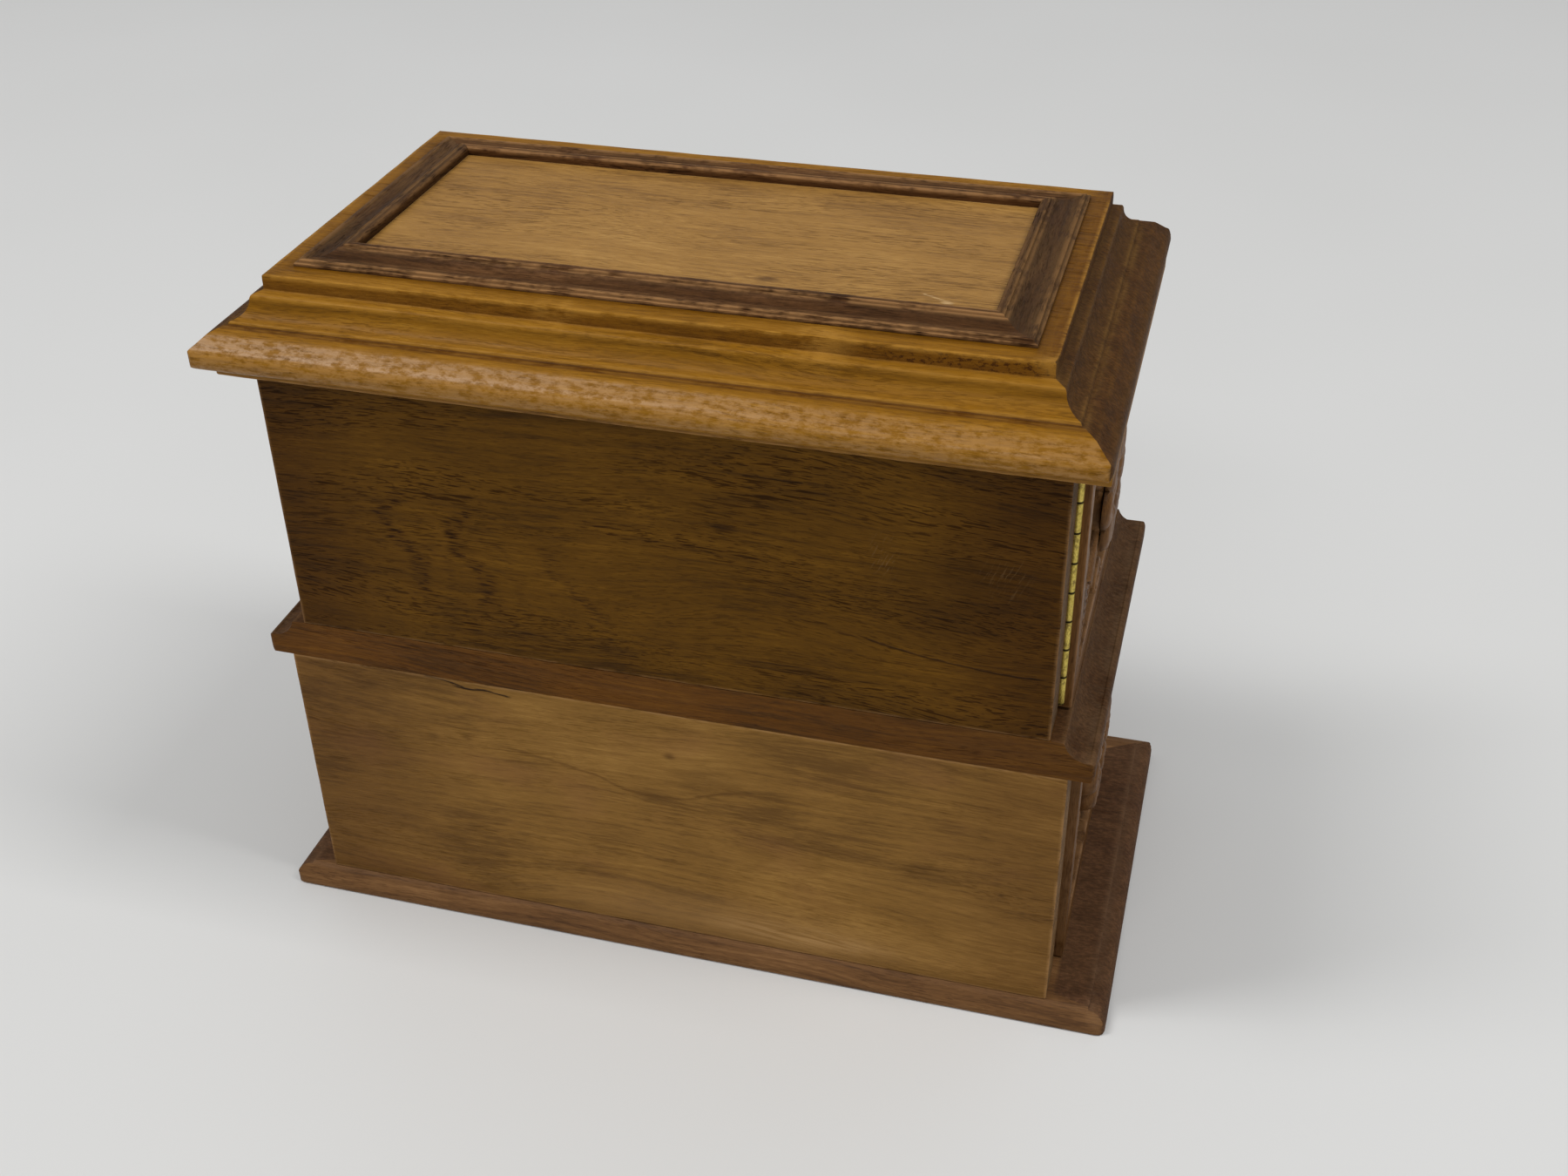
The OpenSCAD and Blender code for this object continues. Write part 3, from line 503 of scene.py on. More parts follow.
def piece(name, verts, faces, body, material, nodes, worn=None, dust_and_shade=None, angle=35,
          ends=None):
    """A finished mesh that stands for CAD nodes and rides on their body."""
    mesh = bpy.data.meshes.new(name)
    mesh.from_pydata((np.asarray(verts, float) * MM).tolist(), [], faces)
    for key, values in (("worn", worn), ("dust_and_shade", dust_and_shade), ("ends", ends)):
        if values is not None:
            layer = mesh.attributes.new(key, "FLOAT", "POINT")
            layer.data.foreach_set("value", np.clip(values, 0, 1).astype(np.float32))
    bm = bmesh.new()
    bm.from_mesh(mesh)
    bmesh.ops.remove_doubles(bm, verts=bm.verts, dist=2e-6)
    bmesh.ops.dissolve_degenerate(bm, edges=bm.edges, dist=1e-6)
    bmesh.ops.recalc_face_normals(bm, faces=bm.faces)
    bm.to_mesh(mesh)
    bm.free()
    return own(name, mesh, body, material, nodes, angle)


def own(name, mesh, body, material, nodes, angle=35):
    """Puts a mesh in the scene as a piece that rides on a body and stands for CAD nodes."""
    mesh.shade_smooth()
    mesh.set_sharp_from_angle(angle=math.radians(angle))
    mesh.materials.clear()
    mesh.materials.append(material)
    obj = bpy.data.objects.new(name, mesh)
    scene.collection.objects.link(obj)
    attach(obj, body)
    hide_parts(*nodes)
    return obj


def spaced(length, step=4.0):
    """Positions from 0 to length, close together near both ends."""
    fine = [f for f in (0, 0.12, 0.3, 0.55, 0.9, 1.4, 2.2) if f < length / 2]
    inner = np.linspace(fine[-1], length - fine[-1], max(2, int((length - 2 * fine[-1]) / step) + 1))
    return np.unique(np.concatenate([fine, inner, [length - f for f in fine]]).round(5))


def profile(points, soft=0.25):
    """A moulding's outline with its corners softened and its long parts divided, how worn each point
    is, and how far in a hollow it lies, which gets dusty grey in some woods and painted shade in others."""
    points = [np.array(p, float) for p in points]
    out = [points[0]]
    for a, b, c in zip(points, points[1:], points[2:]):
        u, v = b - a, c - b
        lu, lv = np.linalg.norm(u), np.linalg.norm(v)
        turn = math.atan2(u[0] * v[1] - u[1] * v[0], u @ v)
        if abs(turn) > math.radians(24):
            p, q = b - u / lu * min(soft, lu * 0.4), b + v / lv * min(soft, lv * 0.4)
            out += [p, (p + 2 * b + q) / 4, q]
        else:
            out.append(b)
    out.append(points[-1])
    fine = [out[0]]
    for a, b in zip(out, out[1:]):
        parts = max(1, math.ceil(np.linalg.norm(b - a) / 1.1))
        fine += [a + (b - a) * (i + 1) / parts for i in range(parts)]
    fine = np.array(fine)
    steps = np.diff(fine, axis=0)
    place = np.concatenate([[0], np.cumsum(np.linalg.norm(steps, axis=1))])
    turn = np.zeros(len(fine))
    cross = steps[:-1, 0] * steps[1:, 1] - steps[:-1, 1] * steps[1:, 0]
    turn[1:-1] = np.arctan2(cross, (steps[:-1] * steps[1:]).sum(1))
    gap = place[:, None] - place[None, :]
    worn = (np.exp(-(gap / 0.45) ** 2) * np.clip(-turn, 0, None)[None, :]).sum(1)
    dust_and_shade = (np.exp(-(gap / 1.5) ** 2) * np.clip(turn, 0, None)[None, :]).sum(1)
    return fine, np.clip(worn * 0.8, 0, 1), np.clip(dust_and_shade * 0.9, 0, 1)


def loft(rings):
    """Faces between closed rings of vertex numbers."""
    faces = []
    for a, b in zip(rings, rings[1:]):
        for i in range(len(a)):
            j = (i + 1) % len(a)
            faces.append([a[i], a[j], b[j], b[i]])
    return faces


def moulded(name, node, body, material, x0, half_x, y_low, y_high, points, front, back,
            corner, floor_z, wear=0.1, chips=(), back_worn=1.0, back_dust_and_shade=1.0):
    """A board whose edge follows a profile all round; front and back give the profile's distance
    outwards on those sides from its distance and height on the ends."""
    outline, worn_at, dust_and_shade_at = profile(points)
    reach = outline[:, 0].max()
    width, depth = 2 * (half_x + reach), y_high - y_low + 2 * reach
    tx, ty = spaced(width) / width, spaced(depth) / depth
    edge_x = max(half_x + o for o, z in outline)
    edge_front = y_low - max(front(o, z) for o, z in outline)
    edge_back = y_high + max(back(o, z) for o, z in outline)
    verts, worn, dust_and_shade, ends, rings = [], [], [], [], []
    for k, (o, z) in enumerate(outline):
        xs = half_x + o
        ys = (y_low - front(o, z), y_high + back(o, z))
        loop = [(-xs + 2 * xs * t, ys[0]) for t in tx[:-1]]
        loop += [(xs, ys[0] + (ys[1] - ys[0]) * t) for t in ty[:-1]]
        loop += [(xs - 2 * xs * t, ys[1]) for t in tx[:-1]]
        loop += [(-xs, ys[1] + (ys[0] - ys[1]) * t) for t in ty[:-1]]
        side = len(tx) - 1, len(ty) - 1
        on_end = [False] * side[0] + [i > 0 for i in range(side[1])]
        on_end *= 2
        at_back = [False] * sum(side) + [True] * side[0] + [False] * side[1]
        ring = []
        for (x, y), end, behind in zip(loop, on_end, at_back):
            sx, sy = math.copysign(1, x), math.copysign(1, y - (edge_front + edge_back) / 2)
            dx = abs(x) - (edge_x - corner)
            dy = (y - edge_back if sy > 0 else edge_front - y) + corner
            far = math.hypot(max(dx, 0), max(dy, 0))
            if dx > 0 and dy > 0 and far > corner:
                x -= sx * dx * (1 - corner / far)
                y -= sy * dy * (1 - corner / far)
            rub = wear * worn_at[k] * chance((x, y, z), 0.13, 3.1) ** 2
            rub += 0.25 * wear * chance((x, y, z), 0.05, 7.7)
            lean = np.array([x * 0.6, y, 0.0])
            lean /= max(np.linalg.norm(lean), 1)
            px, py, pz = x - rub * lean[0], y - rub * lean[1], z
            if worn_at[k] > 0.2 and z > floor_z + 0.6:
                pz -= rub * 0.7
            shown = worn_at[k] * (back_worn if behind else 1.0)
            for cx, cy, cz, radius, cut in chips:
                near = math.dist((x0 + px, py, pz), (cx, cy, cz)) / radius
                if near < 1:
                    bite = cut * (1 - near) * (0.35 + 1.1 * chance((px, py, pz), 0.9, 1.3))
                    px -= sx * bite
                    py -= sy * bite
                    shown = max(shown, 1.6 * (1 - near))
            ring.append(len(verts))
            verts.append((x0 + px, py, max(pz, floor_z)))
            worn.append(shown)
            dust_and_shade.append(dust_and_shade_at[k] * (back_dust_and_shade if behind else 1.0))
            ends.append(float(end and o > -0.15))
        rings.append(ring)
    faces = [list(rings[0]), list(rings[-1])] + loft(rings)
    return piece(name, verts, faces, body, material, [node], worn, dust_and_shade, ends=ends)


def rounded_box(low, high, radius, wear, seed):
    """Vertices, faces and wear of a box with worn round arrises."""
    low, high = np.array(low, float), np.array(high, float)
    cuts = [spaced(s) for s in high - low]
    verts, faces, worn = [], [], []
    for axis in range(3):
        u, v = [i for i in range(3) if i != axis]
        for end in (0, 1):
            grid = {}
            for i, a in enumerate(cuts[u]):
                for j, b in enumerate(cuts[v]):
                    p = np.zeros(3)
                    p[axis], p[u], p[v] = (low, high)[end][axis], low[u] + a, low[v] + b
                    r = radius * (1 - wear + 1.6 * wear * chance(p, 0.16, seed))
                    r = min(r, (high - low).min() * 0.45)
                    q = np.clip(p, low + r, high - r)
                    d = p - q
                    gone = np.linalg.norm(d)
                    near = np.sort(np.minimum(p - low, high - p))
                    grid[i, j] = len(verts)
                    verts.append(q + d * (r / gone))
                    worn.append(1.15 - near[1] / (radius * 1.7))
            for i in range(len(cuts[u]) - 1):
                for j in range(len(cuts[v]) - 1):
                    faces.append([grid[i, j], grid[i + 1, j], grid[i + 1, j + 1], grid[i, j + 1]])
    return verts, faces, np.clip(worn, 0, 1).tolist()


def board(name, node, body, material, radius, boxes=None, wear=0.5):
    """Rounded boards that stand for a CAD node; boxes lists them where the node has several."""
    if boxes is None:
        boxes = [mm_box(node)]
    verts, faces, worn = [], [], []
    for i, (low, high) in enumerate(boxes):
        v, f, w = rounded_box(low, high, radius, wear, len(name) * 1.7 + i)
        faces += [[k + len(verts) for k in face] for face in f]
        verts += v
        worn += w
    return piece(name, verts, faces, body, material, [node], worn, [0.0] * len(verts))


def two_boards(node, body, material, radius, axis, thick):
    """The two boards of a node, at its low and its high end along an axis."""
    low, high = mm_box(node)
    low_far, high_near = high.copy(), low.copy()
    low_far[axis], high_near[axis] = low[axis] + thick, high[axis] - thick
    board(node + "_worn", node, body, material, radius, [(low, low_far), (high_near, high)])


def refined(node, material, radius=0.25, angle=40):
    """A copy of a CAD node's mesh with its arrises rounded."""
    source = frame["nodes"][node]
    bm = bmesh.new()
    bm.from_mesh(source.data)
    bmesh.ops.remove_doubles(bm, verts=bm.verts, dist=2e-6)
    bmesh.ops.dissolve_limit(bm, angle_limit=math.radians(0.6), verts=bm.verts, edges=bm.edges)
    if radius:
        sharp = [e for e in bm.edges if len(e.link_faces) == 2 and e.calc_face_angle(0) > 0.6]
        bmesh.ops.bevel(bm, geom=sharp, offset=radius * MM, segments=2, profile=0.5,
                        affect="EDGES", clamp_overlap=True)
    mesh = bpy.data.meshes.new(node + "_finish")
    bm.to_mesh(mesh)
    bm.free()
    return own(node + "_finish", mesh, source["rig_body"], material, [node], angle)


def carved(node, body, material, size, step, depth, place):
    """A pierced and carved panel. depth(a, b) gives how far inside the wood a point is and how
    thick the wood is there, over a grid centred on the panel; place puts (a, b, thickness) in the
    frame."""
    a = np.linspace(-size[0] / 2, size[0] / 2, int(round(size[0] / step)) + 1)
    b = np.linspace(-size[1] / 2, size[1] / 2, int(round(size[1] / step)) + 1)
    A, B = np.meshgrid(a, b, indexing="ij")
    inside, tall = depth(A, B)
    inside = np.minimum(inside, np.minimum(size[0] / 2 - abs(A), size[1] / 2 - abs(B)) + 1e-4)
    smooth = tall.copy()
    for _ in range(6):
        smooth[1:-1, 1:-1] = (smooth[1:-1, 1:-1] + smooth[:-2, 1:-1] + smooth[2:, 1:-1]
                              + smooth[1:-1, :-2] + smooth[1:-1, 2:]) / 5
    crest = np.clip((tall - smooth) * 3.0, 0, 1)
    # hollow marks low spots, which the carving woods' near-black hollow colour fills with painted shade.
    hollow = np.clip((smooth - tall) * 4.0, 0, 1)
    verts, worn, dust_and_shade, index = [], [], [], {}

    def corner(i, j, top):
        key = (i, j, top)
        if key not in index:
            index[key] = len(verts)
            verts.append(place(A[i, j], B[i, j], tall[i, j] if top else 0.0))
            worn.append(max(crest[i, j], 0.9 - inside[i, j] / 0.9) if top else 0.0)
            dust_and_shade.append(hollow[i, j] if top else 0.3)
        return index[key]

    def crossing(i0, j0, i1, j1, top):
        key = (min((i0, j0), (i1, j1)), max((i0, j0), (i1, j1)), top)
        if key not in index:
            s0, s1 = inside[i0, j0], inside[i1, j1]
            t = min(max(s0 / (s0 - s1), 0.02), 0.98)
            pa, pb = A[i0, j0] + (A[i1, j1] - A[i0, j0]) * t, B[i0, j0] + (B[i1, j1] - B[i0, j0]) * t
            high = tall[i0, j0] if s0 > 0 else tall[i1, j1]
            index[key] = len(verts)
            verts.append(place(pa, pb, high - 0.25 if top else 0.0))
            worn.append(0.8 if top else 0.0)
            dust_and_shade.append(0.1)
        return index[key]

    faces = []
    solid = inside > 0
    for i in range(len(a) - 1):
        for j in range(len(b) - 1):
            cell = [(i, j), (i + 1, j), (i + 1, j + 1), (i, j + 1)]
            flags = [bool(solid[c]) for c in cell]
            if not any(flags):
                continue
            loops = {True: [], False: []}
            wall = []
            for k in range(4):
                c, d = cell[k], cell[(k + 1) % 4]
                for top in (True, False):
                    if flags[k]:
                        loops[top].append(corner(*c, top))
                    if flags[k] != flags[(k + 1) % 4]:
                        loops[top].append(crossing(*c, *d, top))
                if flags[k] != flags[(k + 1) % 4]:
                    wall.append((loops[True][-1], loops[False][-1]))
                if flags[k] and flags[(k + 1) % 4] and (
                        (k == 0 and j == 0) or (k == 2 and j == len(b) - 2)
                        or (k == 1 and i == len(a) - 2) or (k == 3 and i == 0)):
                    ends = [(corner(*c, True), corner(*c, False)), (corner(*d, True), corner(*d, False))]
                    faces.append([ends[0][0], ends[1][0], ends[1][1], ends[0][1]])
            for top in (True, False):
                if len(loops[top]) > 2:
                    faces.append(loops[top] if top else loops[top][::-1])
            if len(wall) == 2:
                faces.append([wall[0][0], wall[1][0], wall[1][1], wall[0][1]])
            elif len(wall) == 4:
                for p, q in ((0, 1), (2, 3)):
                    faces.append([wall[p][0], wall[q][0], wall[q][1], wall[p][1]])
    piece(node + "_carved", verts, faces, body, material, [node], worn, dust_and_shade, 50)


def rosette_mesh(radius, height, place, around=208, out=44):
    """Vertices, faces, wear and hollow marks of a carved rosette: eight cupped petals round a boss. The
    hollow marks get painted shade from the carving woods.
    """
    lobe = radius * 0.33
    centre = radius - lobe
    pitch = math.tau / 8
    verts, worn, dust_and_shade, rings = [], [], [], []

    def relief(r, angle):
        off = (angle + pitch / 2) % pitch - pitch / 2
        px, py = r * math.cos(off) - centre, r * math.sin(off)
        far = math.hypot(px, py) / lobe
        petal = height * math.sqrt(max(0.0, 1 - far ** 3)) if far < 1 else 0.0
        cup = math.exp(-(((far - 0.1) / 0.45) ** 2)) * (0.9 + 0.1 * math.cos(py * 5))
        vein = 0.3 * math.exp(-((py / 0.45) ** 2)) * (1 if px < lobe * 0.6 else 0.3)
        petal = max(0.0, petal - height * 0.3 * cup - vein) if petal > 0 else 0.0
        between = (angle % pitch) - pitch / 2
        bead_r = lobe * 0.42
        bead = math.hypot(r * math.cos(between) - radius * 0.76, r * math.sin(between)) / bead_r
        pip = height * 0.5 * math.sqrt(max(0.0, 1 - bead ** 2)) if bead < 1 else 0.0
        boss_r = radius * 0.42
        boss = height * 0.7 * math.sqrt(max(0.0, 1 - (r / boss_r) ** 2.2)) if r < boss_r else 0.0
        if boss:
            boss -= 0.35 * math.exp(-(((r - boss_r * 0.45) / 0.6) ** 2))
            boss -= 0.25 * math.exp(-(((r - boss_r * 0.72) / 0.4) ** 2)) * (0.5 + 0.5 * math.cos(angle * 16))
        base = 1.2 if r < radius * 0.74 else 0.5
        return max(base, petal, pip, boss)

    def edge(angle):
        off = (angle + pitch / 2) % pitch - pitch / 2
        return centre * math.cos(off) + math.sqrt(max(lobe ** 2 - (centre * math.sin(off)) ** 2, 0))

    shares = [0.0] + [((k + 1) / out) ** 0.92 for k in range(out)]
    field = np.array([[relief(s * edge(math.tau * i / around), math.tau * i / around)
                       for i in range(around)] for s in shares])
    field = np.minimum(field, height)
    smooth = field.copy()
    for _ in range(5):
        smooth[1:-1] = (smooth[1:-1] * 2 + smooth[:-2] + smooth[2:]
                        + np.roll(smooth, 1, 1)[1:-1] + np.roll(smooth, -1, 1)[1:-1]) / 6
    field[1:-1] = 0.55 * field[1:-1] + 0.45 * smooth[1:-1]
    for k, s in enumerate(shares):
        ring = []
        for i in range(around):
            angle = math.tau * i / around
            r = s * edge(angle)
            ring.append(len(verts))
            verts.append(place(r * math.cos(angle), r * math.sin(angle), field[k, i]))
            worn.append(np.clip((field[k, i] - smooth[k, i]) * 2.2 + field[k, i] / height * 0.25, 0, 1))
            # Low spots and the sunk ground between petals get painted shade from the carving woods' hollow
            # colour.
            dust_and_shade.append(np.clip((smooth[k, i] - field[k, i]) * 3.0 + (0.5 if field[k, i] < 1.3 else 0), 0, 1))
        rings.append(ring)
    foot = []
    for i in range(around):
        angle = math.tau * i / around
        r = edge(angle)
        foot.append(len(verts))
        verts.append(place(r * math.cos(angle), r * math.sin(angle), 0.0))
        worn.append(0.0)
        dust_and_shade.append(0.6)
    rings.append(foot)
    return verts, loft(rings) + [list(foot)], worn, dust_and_shade


# ---- Carved panels ----

STRAP = 7.0
HUB = 14.5


def lattice_depth(a, b, w, h, full):
    """Diagonal straps with a leaf on each arm and a round hub, in a w by h opening."""
    turn = math.atan2(h, w)
    reach = math.hypot(w, h) / 2
    inside = np.full(a.shape, -9.0)
    tall = np.full(a.shape, full * 0.8)
    for s in (-1, 1):
        along = a * math.cos(turn) + s * b * math.sin(turn)
        across = -a * math.sin(turn) + s * b * math.cos(turn)
        strap = STRAP / 2 - abs(across)
        carve = full - 0.75 * np.exp(-(across / 0.75) ** 2) - 0.55 * np.clip(abs(across) - 2.1, 0, 2)
        tall = np.where(strap > inside, carve, tall)
        inside = np.maximum(inside, strap)
        t = abs(along) / reach
        leaf_at = (t - 0.72) * reach / 9.5
        edge = 6.3 * np.sqrt(np.clip(1 - np.clip(abs(leaf_at), 0, 1) ** 2, 0, 1))
        edge = edge * (1 + 0.1 * np.cos(leaf_at * 15))
        leaf = np.where(abs(leaf_at) < 1, edge - abs(across), -9.0)
        lean = abs(along) - 0.55 * abs(across)
        veins = 0.45 * (0.5 + 0.5 * np.cos(lean * math.tau / 2.6)) * np.clip(abs(across) / 1.5, 0, 1)
        shape = full - 0.25 - 0.9 * np.exp(-(across / 0.6) ** 2) - veins - 0.035 * across ** 2
        tall = np.where(leaf > 0, np.where(leaf > strap - 1.5, shape, tall), tall)
        inside = np.maximum(inside, leaf)
    r = np.hypot(a, b)
    hub = HUB - r
    ring = full - 0.5 * np.exp(-((r - HUB + 1.5) / 0.5) ** 2)
    tall = np.where(hub > 0, ring, tall)
    inside = np.maximum(inside, hub)
    for s in (-1, 1):
        for along, across, half in ((a, b, h / 2), (b, a, w / 2)):
            out = np.hypot(along, across - s * half)
            ear = 6.5 - out
            eye = out - 2.3
            scroll = np.minimum(ear, eye)
            shape = full - 0.2 - 0.5 * np.exp(-((out - 4.4) / 0.45) ** 2)
            tall = np.where((scroll > 0) & (scroll > inside), shape, tall)
            inside = np.maximum(inside, scroll)
    return inside, tall


def soft_edge(inside, tall, round_by=0.9):
    """Thickness brought down in a quarter round next to openings."""
    s = np.clip(inside / round_by, 0, 1)
    return tall - round_by * 0.6 * (1 - np.sqrt(1 - (1 - s) ** 2))


def door_depth(a, b, w, h, full):
    inside, tall = lattice_depth(a, b, w, h, full - 0.1)
    frame_in = 1.0 - np.minimum(w / 2 - abs(a), h / 2 - abs(b))
    tall = np.where(frame_in > 0, full, tall)
    inside = np.maximum(inside, frame_in)
    return inside, soft_edge(inside, tall)


def rimmed_depth(a, b, bays, w, h, full, low):
    """Lattices in one or more openings of a flat rim; bays lists the openings' middles."""
    inside = np.full(a.shape, 9.0)
    tall = np.full(a.shape, float(full))
    for middle in bays:
        u = a - middle
        hole = np.minimum(w / 2 - abs(u), h / 2 - abs(b))
        lattice, shape = lattice_depth(u, b, w, h, low)
        bead = full - 0.45 * np.exp(-((hole + 1.6) / 0.4) ** 2)
        tall = np.where(hole > 0, shape, np.minimum(tall, bead))
        inside = np.where(hole > 0, lattice, np.minimum(inside, np.maximum(-hole, lattice)))
    return inside, soft_edge(inside, tall)


# ---- The box ----

camera()
lighting()

WALNUT_WORN = (0.25, 0.13, 0.05)
LID_TONES = (0.33, 0.155, 0.014), (0.235, 0.1, 0.005), (0.125, 0.05, 0.002)
lid_wood = wood("lid_wood", "X", 1, *LID_TONES, rough=0.42, coat=0.03, pore=0.45,
                figure=0.25, end=(0.062, 0.024, 0.005), end_amount=0.96, worn=(0.5, 0.25, 0.04),
                worn_amount=0.45, dust_and_shade=(0.115, 0.06, 0.02), marks=lid_marks, spec=0.07,
                side_dust_and_shade=0.2, blotch=0.5, nose=True)
under_wood = wood("under_wood", "X", 15, *LID_TONES, rough=0.45, coat=0.05, worn=(0.4, 0.2, 0.05))
# frame_wood_x's near-black hollow colour is painted shade in the frame moulding's creases; frame_wood_y's
# lighter one is dusty grey.
frame_x = wood("frame_wood_x", "X", 2, (0.15, 0.068, 0.024), (0.085, 0.035, 0.011), (0.03, 0.012, 0.004),
               rough=0.45, dust_and_shade=(0.022, 0.01, 0.003), dust_and_shade_amount=0.75, pore=0.8,
               worn=(0.36, 0.185, 0.07), worn_amount=0.8, spec=0.06, end_amount=0.0)
frame_y = wood("frame_wood_y", "Y", 3, (0.1, 0.048, 0.017), (0.05, 0.021, 0.007), (0.02, 0.008, 0.003),
               rough=0.45, dust_and_shade=(0.085, 0.05, 0.02), dust_and_shade_amount=0.5, pore=0.9,
               worn=(0.2, 0.1, 0.035), worn_amount=0.7, spec=0.06, end_amount=0.0)
panel_wood = wood("panel_wood", "X", 4, (0.41, 0.225, 0.06), (0.305, 0.155, 0.034), (0.18, 0.085, 0.018),
                  coat=0.04, pore=0.6, figure=0.35, blotch=0.5, marks=panel_marks,
                  worn=(0.5, 0.32, 0.14), spec=0.2)
upper_wood = wood("upper_wood", "X", 5, (0.18, 0.08, 0.006), (0.12, 0.051, 0.003), (0.06, 0.025, 0.002),
                  pore=0.9, figure=0.35, spec=0.07, worn=WALNUT_WORN, marks=upper_marks,
                  end=(0.13, 0.078, 0.042), blotch=0.8)
lower_wood = wood("lower_wood", "X", 6, (0.35, 0.185, 0.045), (0.255, 0.128, 0.028), (0.15, 0.072, 0.016),
                  pore=0.3, figure=0.25, spec=0.08, worn=(0.45, 0.25, 0.1),
                  worn_amount=0.45, marks=lower_marks, end=(0.17, 0.095, 0.04), blotch=1.1)
mid_wood = wood("mid_wood", "X", 7, (0.18, 0.07, 0.006), (0.12, 0.043, 0.003), (0.056, 0.021, 0.002),
                pore=0.6, end=(0.075, 0.034, 0.013), worn=(0.28, 0.15, 0.06),
                dust_and_shade=(0.16, 0.1, 0.055), spec=0.1, marks=mid_marks)
base_wood = wood("base_wood", "X", 8, (0.24, 0.12, 0.045), (0.155, 0.073, 0.026), (0.078, 0.036, 0.015),
                 pore=0.5, end=(0.085, 0.039, 0.018), worn=(0.3, 0.16, 0.07),
                 worn_amount=0.35, dust_and_shade=(0.12, 0.068, 0.038), spec=0.1)
front_wood = wood("front_wood", "X", 9, (0.16, 0.07, 0.015), (0.1, 0.042, 0.008), (0.05, 0.02, 0.005),
                  rough=0.45, coat=0.05)
# The carving woods' near-black hollow colour is painted shade in the carvings' recesses.
carving = dict(rough=0.42, coat=0.02, pore=0.4, worn=(0.28, 0.145, 0.06), dust_and_shade=(0.035, 0.02, 0.012),
               dust_and_shade_amount=0.8, worn_amount=0.6, spec=0.08)
carved_tones = (0.2, 0.092, 0.026), (0.13, 0.056, 0.015), (0.06, 0.025, 0.009)
carved_x, carved_y, carved_z = (wood("carved_wood_" + axis.lower(), axis, 11 + i, *carved_tones, **carving)
                                for i, axis in enumerate("XYZ"))
plain = {axis: wood("inner_wood_" + axis.lower(), axis, 14 + i, (0.5, 0.31, 0.14), (0.37, 0.21, 0.085),
                    (0.2, 0.11, 0.045), rough=0.62, pore=0.5, worn=(0.55, 0.36, 0.18),
                    worn_amount=0.3) for i, axis in enumerate("XYZ")}

lid_low, lid_high = mm_box("lid_board")
lid_x = (lid_low[0] + lid_high[0]) / 2
EDGE = 14.5
top, foot = lid_high[2], lid_low[2]
lid_points = ([(-5, top), (0, top), (0, top - 3.5), (2.3, top - 4.2)]
              + arc(7, top - 5, 4.4, 180, 262, 14)
              + [(6.8, top - 10.2), (7.5, top - 10), (10.2, top - 11.1)]
              + arc(EDGE - 3.2, top - 16.2, 3.2, 62, -90, 18) + [(EDGE - 3.4, foot)])
moulded("lid_board_moulded", "lid_board", "case", lid_wood, lid_x,
        lid_high[0] - lid_x - EDGE, lid_low[1] + EDGE, lid_high[1] - EDGE, lid_points,
        lambda o, z: o, lambda o, z: o, 2.4, foot, wear=0.16,
        chips=[(lid_x - 90, 48.6, top, 5, 0.5), (lid_x - 40, 48.6, top, 9, 0.35),
               (lid_x + 20, 48.6, top, 6, 0.3)])

mid_low, mid_high = mm_box("mid_board")
mid_x = (mid_low[0] + mid_high[0]) / 2
MID_END, MID_FRONT = 10.6, 4.8
up, down = mid_high[2], mid_low[2]
mid_points = ([(-4, up), (0, up)] + arc(9.2, up + 1.4, 6.4, 193, 268, 14)
              + arc(MID_END - 1.5, up - 6.3, 1.5, 85, 0, 7) + [(MID_END, down + 1), (MID_END - 0.8, down)])
moulded("mid_board_moulded", "mid_board", "case", mid_wood, mid_x,
        mid_high[0] - mid_x - MID_END, mid_low[1] + MID_FRONT, mid_high[1], mid_points,
        lambda o, z: o if o < 0 else o * MID_FRONT / MID_END, lambda o, z: min(o, 0), 1.2, down,
        wear=0.12, back_worn=0.08, back_dust_and_shade=0.15)

base_low, base_high = mm_box("base_board")
BASE_END, BASE_FRONT, BASE_BACK = 13.6, 9.8, 3.1
flat = base_high[2]
base_points = ([(-4, flat), (0, flat), (BASE_END - 4.6, flat), (BASE_END - 4.5, flat - 0.6)]
               + arc(BASE_END - 4, flat - 4.6, 4, 90, 0, 8) + [(BASE_END, 0.3), (BASE_END - 0.3, 0)])


def base_front(o, z):
    return float(np.interp(o, [-4, 0, BASE_END - 4.6, BASE_END],
                           [-4, 0, BASE_FRONT - 4.6, BASE_FRONT]))


def base_back(o, z):
    if z > flat - 1e-6:
        return float(np.interp(o, [-4, BASE_END - 4.6], [-4, 0]))
    down_by = np.interp(z, [0.25, flat * 0.3, flat - 0.9, flat],
                        [BASE_BACK, BASE_BACK, BASE_BACK * 0.35, 0])
    return float(down_by - (0.3 if z < 0.01 else 0))


base = moulded("base_board_moulded", "base_board", "case", base_wood, 0.0,
               base_high[0] - BASE_END, base_low[1] + BASE_FRONT, base_high[1] - BASE_BACK,
               base_points, base_front, base_back, 2.5, 0.0, wear=0.14,
               chips=[(-base_high[0] + 3, base_high[1] - 2, 5.2, 5, 0.5)], back_worn=0.12,
               back_dust_and_shade=0.1)


HEAD_R = 3.2


